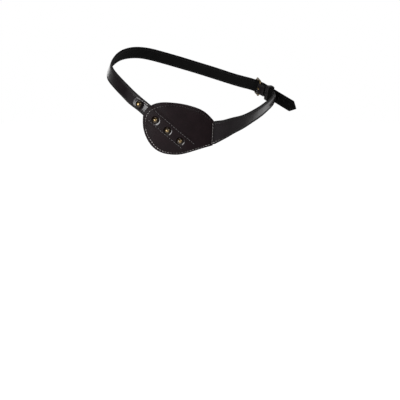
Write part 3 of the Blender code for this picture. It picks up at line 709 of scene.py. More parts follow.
# outward direction in the dome's sheet, for the wall's slight belly
tan2 = np.roll(RING, -1, 0) - np.roll(RING, 1, 0)
out2 = unit(np.stack([tan2[:, 1], -tan2[:, 0]], 1))
if np.mean(np.sum(out2 * (RING - CENTRE), axis=1)) < 0:
    out2 = -out2
rim_depth = -h_grid[0]
wall = []
for share, belly in ((0.3, 0.10), (0.65, 0.12), (0.92, 0.03), (1.0, -0.18)):
    ring = RING + out2 * belly
    wall.append(dome(ring[:, 0], ring[:, 1], rim_depth + (wall_low - rim_depth) * share)[0])
under = []
for inset, depth in ((1.6, None), (3.4, 1.30), (8.0, 1.12), (16.0, 1.12)):
    ring = CENTRE + (RING - CENTRE) * (1 - inset / np.linalg.norm(RING - CENTRE, axis=1))[:, None]
    under.append(dome(ring[:, 0], ring[:, 1], (wall_low - 0.1) if depth is None else depth)[0])
rows = [top[i] for i in range(len(shares) - 1, -1, -1)] + wall + under
verts = np.concatenate(rows)
faces = loft_faces(len(rows), NB)
# the cut wall takes the dyed edge colour; the two outermost face rings take part of it, a painted shade along the rim
edge = np.zeros(len(verts))
first_wall = len(shares) * NB
edge[first_wall:first_wall + 4 * NB] = 1.0
edge[first_wall - NB:first_wall] = 0.75
edge[first_wall - 2 * NB:first_wall - NB] = 0.25
polish = np.zeros(len(verts))
flat_grid = grid[::-1].reshape(-1, 2)
for u0, v0 in STUDS_UV:
    off = flat_grid - np.array([u0 + 0.12, v0 - 0.55])
    r = np.linalg.norm(off, axis=1)
    blend_in = (1 - smooth(4.0, 4.7, r)) * (0.12 + 0.88 * stud_side(np.arctan2(off[:, 1], off[:, 0])))
    polish[:first_wall] = np.maximum(polish[:first_wall], blend_in)
cover = make("patch_cover_leather", verts, faces, PATCH_LEATHER, sharp=75, edge=edge, polish=polish)
show(cover, "headband", "patch_leather", "patch_cover")

# ---------------------------------------------------------------- patch lining
NL = 200
_, RING_L = closed_outline(NL)
cross_l, seam_l = rim_masks(RING_L)
rim_top = 2.25 + 0.62 * cross_l + 0.72 * seam_l
shares_l = np.concatenate([1 - 0.02 * np.arange(0, 9), np.linspace(0.82, 0.03, 18)])
grid_l = CENTRE + (RING_L - CENTRE)[None] * shares_l[:, None, None]
e_l, _ = rim_distance(grid_l)
e_l[0] = 0.0
ease = smooth(0.2, 3.6, e_l)
depth_low = (rim_top + 0.75)[None] * (1 - ease) + (D_LINING + 0.7) * ease
depth_low = depth_low - 0.25 * np.exp(-((e_l - rim_inset(grid_l)) / 0.5) ** 2)
depth_low += 0.10 * noise_at(grid_l, 0.11, 1.3)
for u0, v0 in STUDS_UV:
    r = np.linalg.norm(grid_l - np.array([u0, v0]), axis=-1)
    depth_low -= 0.22 * (1 - smooth(2.6, 4.6, r))
low = dome(grid_l[..., 0], grid_l[..., 1], depth_low)[0]
rim_mid = dome(RING_L[:, 0] * 1.002, RING_L[:, 1] * 1.002, rim_top + 0.35)[0]
rim_up = dome(RING_L[:, 0] * 0.995, RING_L[:, 1] * 0.995, rim_top)[0]
inner = []
for inset, depth in ((1.8, None), (3.5, D_LINING), (9.0, D_LINING), (17.0, D_LINING)):
    ring = CENTRE + (RING_L - CENTRE) * (1 - inset / np.linalg.norm(RING_L - CENTRE, axis=1))[:, None]
    inner.append(dome(ring[:, 0], ring[:, 1], (rim_top * 0.5 + D_LINING * 0.5) if depth is None else depth)[0])
rows = [low[i] for i in range(len(shares_l) - 1, -1, -1)] + [rim_mid, rim_up] + inner
lining = make("patch_lining_fabric", np.concatenate(rows), loft_faces(len(rows), NL), LINING, sharp=75)
show(lining, "headband", "lining", "patch_lining")

for n in ("patch_stiffener",):
    ob = frame["nodes"][n]
    store_rest(ob)
    ob.data.materials.clear()
    ob.data.materials.append(BOARD)

# ---------------------------------------------------------------- strap routes
stations = []
for k in range(6):
    uv = CROSSING + BAND_DIR * TONGUE_LEN * (1 - k / 5)
    p, g = dome(uv[0], uv[1], D_STRAP + 0.3)
    stations.append((p, g))
for phi, z, above in BROW_ROUTE:
    stations.append(form(phi, z, STRAP_OFF + above))
roller_n = OUTER_BAR[1] - ROLLER_OUT - 0.45 - STRAP_T
for t, n in [(-22.0, -7.2), (-13.0, roller_n - 0.05), (-5.5, 1.35), (1.0, OVER_FOLD - 0.12),
             (6.0, OVER_FOLD), (12.0, OVER_FOLD), (18.0, OVER_FOLD), (TAIL_HINGE - 1.2 * GAP, OVER_FOLD)]:
    stations.append((at_buckle(t, n), K_N))
BROW = Route(stations)
B_CROSS = BROW.nearest(dome(CROSSING[0], CROSSING[1], D_STRAP + 0.3)[0])
B_END = BROW.nearest(at_buckle(TAIL_SPLIT, OVER_FOLD))

stations = []
for u, v in ((27.0, -10.4), (30.6, -9.05), (34.2, -7.55)):
    p, g = dome(u, v, D_STRAP + 0.45)
    stations.append((p, g))
seam_point = stations[2][0]
for phi, z, above in TEMPLE_ROUTE:
    stations.append(form(phi, z, STRAP_OFF + above))
for t, n, b, lean in [(52.5, -16.6, 6.6, 0.62), (43.0, -10.4, 4.3, 0.5), (35.0, -5.2, 2.3, 0.4),
                      (29.0, -1.75, 0.9, 0.26), (24.5, -0.1, 0.15, 0.1), (20.5, FOLD_N, 0, 0),
                      (15.0, FOLD_N, 0, 0), (10.0, FOLD_N, 0, 0), (3.5, FOLD_N, 0, 0)]:
    stations.append((at_buckle(t, n, b), unit(K_N + K_T * lean)))
TEMPLE = Route(stations)
T_SEAM = TEMPLE.nearest(seam_point)

# ---------------------------------------------------------------- strap sections
# (distance in from the strap's edge, height above the strap's inner face)
PLY_EDGE = [(0.10, 0.78), (0.0, 0.92), (0.0, 1.18), (0.05, 1.29), (0.18, 1.40), (0.55, 1.52), (1.00, 1.62),
            (1.40, 1.69), (1.66, 1.66), (1.84, 1.60), (2.02, 1.65), (2.30, 1.79), (2.68, 1.92), (3.20, 1.98)]
CREASE_IN = 1.84
BACK_EDGE = [(0.25, 0.0), (0.10, 0.10), (0.05, 0.3), (0.05, 0.72)]


def ply_section(half, crown=0.07, count=9):
    """Outer ply across the strap, as (b, n) round the section, for one half width."""
    f = min(1.0, half / 3.6)
    right = [(half - i * f, n) for i, n in PLY_EDGE]
    inner_b = right[-1][0]
    mid = [(x * inner_b, 1.98 + crown * (1 - x * x)) for x in np.linspace(1, -1, count + 2)[1:-1]]
    left = [(-b, n) for b, n in right[::-1]]
    bottom = [(x * inner_b, 0.78) for x in (-0.6, 0.0, 0.6)]
    return right + mid + left + bottom


# dyed cut edge, then painted shade over the pressed border out to just past the crease
def ply_edge_mask(count=9):
    w = [1.0, 1.0, 1.0, 1.0, 0.95, 0.85, 0.7, 0.35, 0.6, 0.75, 0.45, 0.15, 0.0, 0.0]
    return np.array(w + [0.0] * count + w[::-1] + [0.3] * 3)


def back_section(half):
    f = min(1.0, half / 3.6)
    right = [(half - i * f, n) for i, n in BACK_EDGE]
    inner_b = right[0][0]
    top = [(x * right[-1][0], 0.72) for x in (0.5, 0.0, -0.5)]
    left = [(-b, n) for b, n in right[::-1]]
    low = [(x * inner_b, 0.0) for x in (-0.75, -0.5, -0.25, 0.0, 0.25, 0.5, 0.75)]
    return right + top + left + low


def strap_piece(name, pts, out, wid, half, section, look, mask=None, lift=None):
    """A strap layer: its section carried along the line. lift(row, b, n) adds to n."""
    verts = []
    for i in range(len(pts)):
        sec = np.array(section(half[i]))
        n = sec[:, 1].copy()
        if lift is not None:
            n = n + lift(i, sec[:, 0], sec[:, 1])
        verts.append(pts[i] + wid[i] * sec[:, :1] + out[i] * n[:, None])
    k = len(verts[0])
    data = {} if mask is None else {"edge": np.tile(mask, len(pts))}
    return make(name, np.concatenate(verts), loft_faces(len(pts), k), look, sharp=75, **data)


# ---------------------------------------------------------------- brow strap
brow_s = np.concatenate([np.arange(0, B_CROSS - 6, 2.0), np.arange(B_CROSS - 6, B_CROSS + 20, 0.45),
                         np.arange(B_CROSS + 20, B_END - 0.5, 1.1), [B_END]])
bp, bo, bw = BROW.at(brow_s)
brow_half = STRAP_W / 2 + 0.08 + 0.10 * noise_at(np.stack([brow_s, brow_s * 0, brow_s * 0], 1), 0.045, 2.0)
brow_half -= 0.18 * (1 - smooth(B_CROSS + 8, B_CROSS + 22, brow_s)) * smooth(B_CROSS - 8, B_CROSS - 2, brow_s)
brow_half += 0.30 * smooth(B_CROSS + 6, B_CROSS + 16, brow_s) * (1 - smooth(B_CROSS + 60, B_CROSS + 90, brow_s))
STUD_S = B_CROSS + BROW_STUD_AT


def brow_lift(i, b, n):
    face = smooth(1.3, 1.75, n)
    s = brow_s[i]
    wave = 0.10 * noise.noise(Vector((s * 0.06, 0.3, 5.0))) + 0.05 * np.array(
        [noise.noise(Vector((s * 0.16, x * 0.16, 9.0))) for x in b])
    r = np.sqrt((s - STUD_S) ** 2 + b ** 2)
    far = smooth(STUD_S - 1.0, STUD_S + 2.5, s)
    dent = -0.80 * (1 - smooth(3.2, 5.0 + 1.7 * far, r)) + 0.10 * np.exp(-((r - 5.5 - 1.4 * far) / 0.9) ** 2)
    return face * (wave * smooth(B_CROSS - 4, B_CROSS + 6, s) + dent)


brow = strap_piece("brow_strap_leather", bp, bo, bw, brow_half, ply_section, STRAP_LEATHER,
                   ply_edge_mask(), brow_lift)
keep = brow_s > B_CROSS + 3.5
brow_back = strap_piece("brow_strap_suede", bp[keep], bo[keep], bw[keep], brow_half[keep] - 0.06,
                        back_section, BACKING)


def slot_cutter(name, t0, t1, half, n0, n1):
    ring = []
    for centre, a0 in ((t1 - half, -90), (t0 + half, 90)):
        for k in range(9):
            a = math.radians(a0 + 180 * k / 8)
            ring.append((centre + half * math.cos(a), half * math.sin(a)))
    return prism(name, np.array([at_buckle(t, n0, b) for t, b in ring]),
                 np.array([at_buckle(t, n1, b) for t, b in ring]))


carve(brow, [slot_cutter("brow_slot", -7.6, 3.5, 1.25, -4.0, 8.0)])
carve(brow_back, [slot_cutter("brow_back_slot", -7.6, 3.5, 1.25, -4.0, 8.0)])
show(brow, "headband", "strap_leather", "brow_strap")
show(brow_back, "headband", "backing", "brow_strap_backing")


def strap_stitches(name, route, s0, s1, half_of, n, flip, look=None, pitch=3.0, pale_of=None):
    """Stitches along both edges of a strap, on the face at height n. pale_of
    says how pale the thread is along the strap, on its upper or lower edge."""
    s = np.arange(s0, s1, 0.5)
    p, o, w = route.at(s)
    a, b, c, pale = [], [], [], []
    for sign in (-1, 1):
        half = half_of(s)
        line = p + o * n + w * (sign * (half - CREASE_IN * np.minimum(1, half / 3.6)))[:, None]
        x = along_line(line, o * flip, pitch, 0.74)
        a.append(x[0]), b.append(x[1]), c.append(x[2])
        at = np.linspace(s0, s1, 2 * len(x[0]) + 1)[1::2]
        pale.append(np.zeros(len(at)) if pale_of is None else pale_of(at, float(sign * w[0, 2] < 0)))
    return sew(name, np.concatenate(a), np.concatenate(b), np.concatenate(c), look or THREAD_BLACK, 0.21, 0.03,
               np.concatenate(pale))


flat_half = lambda s: np.full(len(s), STRAP_W / 2)
# pale stitches on the upper edge up to the stud: a painted highlight along that edge
show(strap_stitches("brow_strap_stitches", BROW, B_CROSS + 1.5, B_END - 17, flat_half, 1.64, 1,
                    pale_of=lambda s, low: 0.85 * (1 - low) * (1 - smooth(STUD_S + 2, STUD_S + 7, s))),
     "headband", "thread")
show(strap_stitches("brow_strap_back_stitches", BROW, B_CROSS + 5.0, B_END - 27, flat_half, 0.02, -1), "headband", "thread")

# ---------------------------------------------------------------- temple strap
temple_s = np.concatenate([np.arange(0, T_SEAM + 14, 0.6), np.arange(T_SEAM + 14, TEMPLE.length - 0.4, 1.1),
                           [TEMPLE.length]])
tp, to, tw = TEMPLE.at(temple_s)


def temple_half(s):
    x = np.asarray(s) - T_SEAM
    y = np.interp(x, TEMPLE_TAPER[:, 0], TEMPLE_TAPER[:, 1])
    for shift in (1.0, 2.0):
        y = y + np.interp(x - shift, TEMPLE_TAPER[:, 0], TEMPLE_TAPER[:, 1]) \
              + np.interp(x + shift, TEMPLE_TAPER[:, 0], TEMPLE_TAPER[:, 1])
    return y / 5


t_half = temple_half(temple_s)
fold_half = t_half[-1]
# at the seam the lower edge runs on from the patch's lower edge
drop = 0.55 * smooth(T_SEAM - 4.6, T_SEAM - 2.8, temple_s) * (1 - smooth(T_SEAM + 5, T_SEAM + 14, temple_s))
tp = tp - tw * (np.sign(tw[:, 2]) * drop / 2)[:, None]
t_half = t_half + drop / 2
# the outer ply goes on round the heel bar and back under itself
fp, fo = [], []
for k in range(1, 29):
    a = math.radians(90 + 180 * k / 28)
    fp.append(at_buckle(FOLD_N * math.cos(a), FOLD_N * math.sin(a)))
    fo.append(K_T * math.cos(a) + K_N * math.sin(a))
fp_in = [(at_buckle(t, FOLD_N), K_N) for t in (2.4, 1.2, 0.0)]
rise = FOLD_N + PLY_0 - GAP
for t in np.linspace(1.0, 7.0, 9)[1:]:
    x = (t - 1.0) / 6.0
    fp.append(at_buckle(t, -FOLD_N + rise * (3 * x * x - 2 * x ** 3)))
    fo.append(-K_N)
for t in (8.5, 10.0):
    fp.append(at_buckle(t, -FOLD_N + rise))
    fo.append(-K_N)
ply_p = np.concatenate([tp, [x[0] for x in fp_in], fp])
ply_o = np.concatenate([to, [x[1] for x in fp_in], fo])
ply_w = np.concatenate([tw, np.tile(K_B, (len(fp) + 3, 1))])
ply_h = np.concatenate([t_half, np.full(len(fp) + 3, fold_half)])
n_route = len(temple_s)


def temple_lift(i, b, n):
    if i >= n_route:
        # inside the fold the ply keeps its plain inner face
        return np.where(n < 0.9, 0.2, 0.0) * min(1.0, (i - n_route) / 3)
    s = temple_s[i]
    wave = 0.09 * noise.noise(Vector((s * 0.07, 1.3, 15.0))) + 0.05 * np.array(
        [noise.noise(Vector((s * 0.15, x * 0.15, 19.0))) for x in b])
    return smooth(1.3, 1.75, n) * wave * smooth(T_SEAM - 2, T_SEAM + 6, s)


temple = strap_piece("temple_strap_leather", ply_p, ply_o, ply_w, ply_h, ply_section, STRAP_LEATHER,
                     ply_edge_mask(), temple_lift)
carve(temple, [slot_cutter("fold_slot", -4.2, 3.2, 1.5, -4.0, 4.0)])
show(temple, "headband", "strap_leather", "temple_strap")
keep = (temple_s > T_SEAM + 1.6) & (temple_s < TEMPLE.length - 0.5)
temple_back = strap_piece("temple_strap_suede", tp[keep], to[keep], tw[keep], t_half[keep] - 0.06, back_section, BACKING)
show(temple_back, "headband", "backing", "temple_strap_backing")
# pale stitches on the lower edge near the seam: a painted highlight
show(strap_stitches("temple_strap_stitches", TEMPLE, T_SEAM + 0.6, TEMPLE.length - 8, temple_half, 1.64, 1,
                    pale_of=lambda s, low: 0.9 * low * (1 - smooth(T_SEAM + 1, T_SEAM + 9, s))), "headband", "thread")
# the corner stitches are all pale: a painted highlight
corner_s = np.arange(T_SEAM - 2.3, T_SEAM + 0.7, 0.25)
cp, co, cw = TEMPLE.at(corner_s)
cp = cp + co * 1.64 - cw * (np.sign(cw[:, 2]) * (temple_half(corner_s) - 1.4))[:, None]
show(sew("temple_corner_stitch", *along_line(cp, co, 3.0, 0.80), THREAD_BLACK, 0.25, 0.0, 1.0), "headband", "thread")
show(strap_stitches("temple_strap_back_stitches", TEMPLE, T_SEAM + 3.0, TEMPLE.length - 18, temple_half, 0.02, -1),
     "headband", "thread")

# ---------------------------------------------------------------- strap tail
apex = TAIL_TIP + 0.3


def tail_sides(t):
    """Upper and lower edge of the tail along its length, its point rounded."""
    x = np.clip(apex - np.asarray(t, float), 0, None)
    run = np.sqrt(x * x + 0.7 * x)
    return [np.minimum(STRAP_W / 2, run * STRAP_W / 2 / (length + 0.65)) for length in TAIL_POINT]


def point_half(t):
    return sum(tail_sides(t)) / 2


def point_mid(t):
    upper, lower = tail_sides(t)
    return (upper - lower) / 2


tail_t = np.concatenate([np.arange(TAIL_SPLIT, TAIL_TIP - TAIL_POINT[1], 0.9),
                         np.linspace(TAIL_TIP - TAIL_POINT[1], apex - 0.6, 25),
                         apex - np.array([0.42, 0.27, 0.15, 0.07, 0.02, 0.0])])
tail_p = np.array([at_buckle(t, OVER_FOLD, b) for t, b in zip(tail_t, point_mid(tail_t))])
tail_o = np.tile(K_N, (len(tail_t), 1))
tail_w = np.tile(K_B, (len(tail_t), 1))
tail_half = np.maximum(point_half(tail_t), 0.08)


def tail_lift(i, b, n):
    # the raised face runs out into the low border at the point
    return -np.maximum(n - 1.25, 0) * (1 - smooth(0.0, 3.2, tail_half[i]))


tail = strap_piece("strap_tail_leather", tail_p, tail_o, tail_w, tail_half, ply_section, STRAP_LEATHER, ply_edge_mask(),
                   tail_lift)
tail_back = strap_piece("strap_tail_suede", tail_p, tail_o, tail_w, np.maximum(tail_half - 0.06, 0.06),
                        back_section, BACKING)


def hole_cutters():
    out = []
    for t in TAIL_HOLES:
        ring = [(t + 1.4 * math.cos(2 * math.pi * k / 28), 1.4 * math.sin(2 * math.pi * k / 28)) for k in range(28)]
        out.append(prism("hole", np.array([at_buckle(x, 0.0, b) for x, b in ring]),
                         np.array([at_buckle(x, 8.0, b) for x, b in ring])))
    return out


carve(tail, hole_cutters())
carve(tail_back, hole_cutters())


class Straight:
    def at(self, t):
        t = np.atleast_1d(t)
        return (np.array([at_buckle(x, OVER_FOLD, b) for x, b in zip(t, point_mid(t))]), np.tile(K_N, (len(t), 1)),
                np.tile(K_B, (len(t), 1)))


tail_sew = strap_stitches("strap_tail_stitches", Straight(), TAIL_SPLIT + 6, TAIL_TIP - 3.4, point_half, 1.61, 1)
tail_sew_back = strap_stitches("strap_tail_back_stitches", Straight(), TAIL_SPLIT + 6, TAIL_TIP - 3.4, point_half,
                               0.02, -1)
for ob, slot, nodes in ((tail, "strap_leather", ("strap_tail",)), (tail_back, "backing", ("strap_tail_backing",)),
                        (tail_sew, "thread", ()), (tail_sew_back, "thread", ())):
    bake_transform(ob)
    if nodes:
        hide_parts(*nodes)

# ---------------------------------------------------------------- patch stitching
def cover_point(uv, sink=0.0):
    uv = np.asarray(uv, float)
    e, _ = rim_distance(uv)
    p, g = dome(uv[..., 0], uv[..., 1], -cover_height(uv, e) + sink)
    return p, g


def rim_line(count):
    ring = DENSE[np.linspace(0, len(DENSE), count, endpoint=False).astype(int)]
    t = np.roll(ring, -1, 0) - np.roll(ring, 1, 0)
    o = unit(np.stack([t[:, 1], -t[:, 0]], 1))
    if np.mean(np.sum(o * (ring - CENTRE), axis=1)) < 0:
        o = -o
    line = ring - o * 1.8
    for _ in range(4):
        line = ring - o * rim_inset(line)[:, None]
    return line


line = rim_line(700)
on_seam = line[:, 0] > 31.6
order = np.argmax(on_seam)
line_rim = line[~on_seam]
# the rim line starts and ends at the seam's corners
gap_at = int(np.argmax(np.linalg.norm(np.diff(line_rim, axis=0), axis=1)))
if np.linalg.norm(line_rim[gap_at + 1] - line_rim[gap_at]) > 4:
    line_rim = np.concatenate([line_rim[gap_at + 1:], line_rim[:gap_at + 1]])
p, g = cover_point(line_rim)
stitches = along_line(p, g, STITCH, 0.70)


def painted_thread_glints(points):
    """How pale the rim's thread is painted: dark along the top, pale on the left side and in patches along the bottom;
    painted glints where the light from below and the left would catch the thread.
    """
    x = (points - PATCH_TOP) @ P_U
    y = (points - PATCH_TOP) @ P_V
    turn = np.degrees(np.arctan2(y, x)) % 360
    glint_by_turn = np.interp(turn, [0, 110, 126, 140, 150, 160, 170, 179, 187, 198, 208, 230, 243, 255, 270, 284, 296, 308, 319,
                            333, 360],
                     [0.0, 0.0, 0.10, 0.24, 0.74, 0.62, 0.03, 0.05, 0.9, 0.5, 0.42, 0.54, 0.34, 0.15, 0.08, 0.2, 0.45,
                      0.3, 0.08, 0.7, 0.0])
    return np.clip(glint_by_turn * (1 + 0.25 * rng.normal(0, 1, len(points))), 0.0, 1.0)


# the rim thread's pale stitches are painted glints
show(sew("rim_stitches", *stitches, THREAD, 0.30, pale=painted_thread_glints(stitches[0])), "headband", "thread", "rim_thread")
e_line, _ = rim_distance(line_rim)
depth_line = np.full(len(line_rim), 3.3)
p, g = dome(line_rim[:, 0], line_rim[:, 1], 0.0)
# on the back the same stitches show on the lining
near = [int(np.argmin(np.linalg.norm(grid_l.reshape(-1, 2) - q, axis=1))) for q in line_rim]
p = dome(line_rim[:, 0], line_rim[:, 1], depth_low.reshape(-1)[near])[0]
show(sew("rim_back_stitches", *along_line(p, -g, STITCH, 0.70), THREAD_BLACK, 0.22), "headband", "thread")

line_seam = np.array([np.array(OUTLINE[-1]) * (1 - k / 60) + np.array(OUTLINE[0]) * k / 60 for k in range(4, 57)])
line_seam = line_seam + np.array([-SEAM_THREAD_IN, 0])
p, g = cover_point(line_seam)
# the seam thread is painted a little pale all along: a painted highlight
show(sew("temple_seam_stitches", *along_line(p, g, STITCH, 0.80), THREAD, 0.24, pale=0.32), "headband", "thread",
     "temple_seam_thread")

for label, sign, s0, s1, blend_in in (("upper", 1, 6.0, 55.5, 0.0), ("lower", -1, 6.8, 48.6, 0.11)):
    line = np.array([CROSSING + BAND_DIR * s + BAND_ACROSS * sign * BAND_THREAD_OFF for s in np.linspace(s0, s1, 160)])
    p, g = cover_point(line)
    show(sew("band_stitches_" + label, *along_line(p, g, STITCH, 0.74), THREAD_DIM, 0.22, pale=blend_in), "headband",
         "thread", "band_thread_" + label)

# ---------------------------------------------------------------- studs and rivet backs
dome_h = STUD_H - STUD_LIP
dome_r = (STUD_R ** 2 + dome_h ** 2) / (2 * dome_h)
span = math.asin(STUD_R / dome_r)
cap_profile = [(0.0, -0.5), (3.0, -0.5), (3.26, -0.45), (3.38, -0.3), (3.42, 0.1), (3.42, 0.45), (3.40, 0.66)]
patina = [1, 1, 1, 1, 1, 1, 1]
for k in range(1, 19):
    a = span * (1 - k / 19) * 0.985
    cap_profile.append((dome_r * math.sin(a) * 0.97, GAP + STUD_H - dome_r + dome_r * math.cos(a)))
    patina.append(float(0.97 * smooth(0.3, 1.75, dome_r * math.sin(a))))
cap_profile.append((0.0, GAP + STUD_H))
patina.append(0.0)


def stud(label, face, out, depth, skirt=0.0):
    profile = [(r, h - skirt if i < 4 else h) for i, (r, h) in enumerate(cap_profile)]
    cap = turned("stud_cap_" + label + "_brass", profile, face, out, BRASS, 56, patina=patina)
    # the top is left bright a little above its middle, set further sideways on stud 1: brass polished bright by use,
    # and partly a painted highlight placed where the lamps' highlight falls
    co = np.array([v.co for v in cap.data.vertices]) * 1000 - face
    up = unit(np.array([0.0, 0.0, 1.0]) - out * out[2])
    side = np.cross(up, out)
    r = np.hypot(co @ side - (0.55 if label == "1" else 0.15), co @ up - 0.40)
    set_point_attribute(cap.data, "patina", "FLOAT", np.where(co @ out > 0.7, 0.97 * smooth(0.3, 1.7, r), 1.0))
    show(cap, "headband", "antique_brass", "stud_cap_" + label)
    low = -(depth + GAP)
    profile = [(0.0, 0.4), (1.05, 0.4), (1.05, low + 0.05), (2.6, low + 0.1), (2.86, low - 0.05), (2.92, low - 0.28),
               (2.84, low - 0.5), (2.6, low - 0.6), (1.5, low - 0.58), (1.2, low - 0.48), (0.8, low - 0.36),
               (0.0, low - 0.32)]
    dark = [0.2, 0.2, 0.4, 0.4, 0.35, 0.25, 0.15, 0.1, 0.2, 0.55, 0.7, 0.6]
    post = turned("rivet_back_" + label, profile, face, out, STEEL, 40, patina=dark)
    show(post, "headband", "rivet_metal", "rivet_post_" + label)


for i, (u, v) in enumerate(STUDS_UV):
    face, out = dome(u, v)
    stud(str(i + 1), face, out, D_LINING + 0.7)
p, o, w = BROW.at([STUD_S])
stud("brow", p[0] + o[0] * (STRAP_T + 0.05), o[0], STRAP_T + 0.1, 0.4)

# ---------------------------------------------------------------- buckle
e2 = unit(OUTER_BAR)
reach = float(np.linalg.norm(OUTER_BAR))
side = FRAME_INNER / 2 + BAR_R
corner = 2.0
loop = []
for cx, cy, a0 in [(reach - corner, side - corner, 0), (corner, side - corner, 90),
                   (corner, -side + corner, 180), (reach - corner, -side + corner, 270)]:
    for k in range(13):
        a = math.radians(a0 + 90 * k / 12)
        loop.append((cx + corner * math.cos(a), cy + corner * math.sin(a)))
path2 = []
for a, b in zip(loop, loop[1:] + loop[:1]):
    a, b = np.array(a), np.array(b)
    steps = max(1, int(np.linalg.norm(b - a) / 1.2))
    path2 += [a + (b - a) * k / steps for k in range(steps)]
frame_path = np.array([at_buckle(e2[0] * x, e2[1] * x, b) for x, b in path2])
frame_up = np.cross(K_T * e2[0] + K_N * e2[1], K_B)
buckle = tube("buckle_frame_brass", frame_path, BAR_R, BRASS, 24, frame_up, closed=True, patina=0.55)
show(buckle, "buckle", "antique_brass", "buckle_frame")

ends = [(ROLLER_IN, 0.12), (ROLLER_IN + 0.08, 0.03), (ROLLER_OUT - 0.12, 0.0), (ROLLER_OUT - 0.03, 0.05), (ROLLER_OUT, 0.16)]
prof = [(r, -ROLLER_LEN / 2 + d) for r, d in ends] + [(ROLLER_OUT, x) for x in np.linspace(-4.5, 4.5, 7)]
prof += [(r, ROLLER_LEN / 2 - d) for r, d in ends[::-1]]
count = 60
verts, dark = [], []
for r, b in prof:
    for k in range(count):
        a = 2 * math.pi * k / count
        dip = 0.13 * math.exp(-((min(k, count - k)) / 0.9) ** 2) if r > ROLLER_IN + 0.1 else 0.0
        verts.append(at_buckle(OUTER_BAR[0] + (r - dip) * math.cos(a), OUTER_BAR[1] + (r - dip) * math.sin(a), b))
        dark.append(0.5 + 0.5 * (dip > 0.05))
roller = make("buckle_roller_brass", verts, loft_faces(len(prof), count, closed=True), BRASS, sharp=50, patina=np.array(dark))
show(roller, "roller", "antique_brass", "buckle_roller")

curl = BAR_R + GAP + PRONG_R
lift_n = ROLLER_OUT + GAP + PRONG_R
tilt = math.atan2(e2[1], -e2[0]) + math.asin((lift_n - curl) / reach)
d2 = np.array([-math.cos(tilt), math.sin(tilt)])
n2 = np.array([math.sin(tilt), math.cos(tilt)])
tip = reach + PRONG_PAST
needle_s = np.concatenate([[tip, tip - 0.08, tip - 0.25, tip - 0.6, tip - 1.2, tip - 2.2], np.linspace(tip - 3.2, 0.5, 22)])
needle_r = np.concatenate([[0.16, 0.34, 0.46, 0.54, 0.61, 0.67], np.full(22, 0.7)])
turn0 = math.atan2(n2[1], n2[0])
curl_pts = [curl * np.array([math.cos(turn0 - math.radians(a)), math.sin(turn0 - math.radians(a))])
            for a in range(0, 301, 6)]
curl_r = np.full(len(curl_pts), PRONG_R)
curl_r[-3:] = [0.66, 0.56, 0.38]
flat = [curl * n2 + d2 * s for s in needle_s] + curl_pts
prong = tube("buckle_prong_brass", [at_buckle(q[0], q[1]) for q in flat], np.concatenate([needle_r, curl_r]), BRASS,
             20, K_B, patina=0.5)
show(prong, "prong", "antique_brass", "buckle_prong")

# ---------------------------------------------------------------- keeper
in_lo, in_hi = FOLD_N - GAP - 0.1, OVER_FOLD + STRAP_T + GAP + 0.1
in_b = STRAP_W / 2 + GAP + 0.15


def rounded(n0, n1, b, r, steps=8):
    corners = []
    for cn, cb, a0 in [(n1 - r, b - r, 0), (n0 + r, b - r, 90), (n0 + r, -b + r, 180), (n1 - r, -b + r, 270)]:
        corners.append([(cn + r * math.cos(math.radians(a0 + 90 * k / steps)),
                         cb + r * math.sin(math.radians(a0 + 90 * k / steps))) for k in range(steps + 1)])
    pts = []
    for c, nxt in zip(corners, corners[1:] + corners[:1]):
        pts += c
        a, z = np.array(c[-1]), np.array(nxt[0])
        pts += [tuple(a + (z - a) * k / 6) for k in range(1, 6)]
    return np.array(pts)


k_in = rounded(in_lo, in_hi, in_b, 0.6)
k_out = rounded(in_lo - KEEPER_T, in_hi + KEEPER_T, in_b + KEEPER_T, 1.9)
h = KEEPER_W / 2
section = [(-h + 0.12, 0.0), (-h, 0.15), (-h, 0.85), (-h + 0.08, 1.08), (-h + 0.28, 1.24), (-h + 0.6, 1.28), (-h + 0.85, 1.2),
           (-h + 1.05, 1.14), (-h + 1.25, 1.2), (-h + 1.6, 1.29)]
section = section + [(x, 1.32) for x in (-0.4, 0.4)] + [(-t, r) for t, r in section[::-1]] + [(0.0, 0.0)]
mask_k = np.array([0.8, 1, 1, 0.8, 0.4, 0.1, 0.3, 0.4, 0.3, 0] + [0, 0] + [0, 0.3, 0.4, 0.3, 0.1, 0.4, 0.8, 1, 1, 0.8] + [0.4])
verts = []
for a, z in zip(k_in, k_out):
    for t, r in section:
        q = a + (z - a) * (r / KEEPER_T)
        verts.append(at_buckle(KEEPER_AT + t, q[0], q[1]))
keeper = make("strap_keeper_leather", verts, loft_faces(len(k_in), len(section), closed=True), STRAP_LEATHER, sharp=75,
              edge=np.tile(mask_k, len(k_in)))
show(keeper, "keeper", "strap_leather", "strap_keeper")
a, b = [], []
for t in (-1.2, 0.0, 1.2):
    a.append(at_buckle(KEEPER_AT + t, in_lo - KEEPER_T, -1.1))
    b.append(at_buckle(KEEPER_AT + t, in_lo - KEEPER_T, 1.1))
show(sew("keeper_stitches", a, b, np.tile(-K_N, (3, 1)), THREAD_BLACK, 0.22, 0.02), "keeper", "thread")

# ---------------------------------------------------------------- stage, light and camera
scene = bpy.context.scene


def disc(name, radius, z, look):
    me = bpy.data.meshes.new(name)
    count = 96
    ring = [(radius * math.cos(2 * math.pi * k / count), radius * math.sin(2 * math.pi * k / count), z) for k in range(count)]
    me.from_pydata(ring, [], [tuple(range(count))])
    me.materials.append(look)
    ob = bpy.data.objects.new(name, me)
    scene.collection.objects.link(ob)
    return ob


m, tree, b = start("floor_pale")
b.inputs["Base Color"].default_value = (0.80, 0.80, 0.80, 1)
b.inputs["Roughness"].default_value = 0.9
b.inputs["Specular IOR Level"].default_value = 0.1
b.inputs["Emission Color"].default_value = (1, 1, 1, 1)
b.inputs["Emission Strength"].default_value = 0.90
floor = disc("floor", 5.6, -0.33, m)
floor.visible_glossy = False
floor.visible_diffuse = False

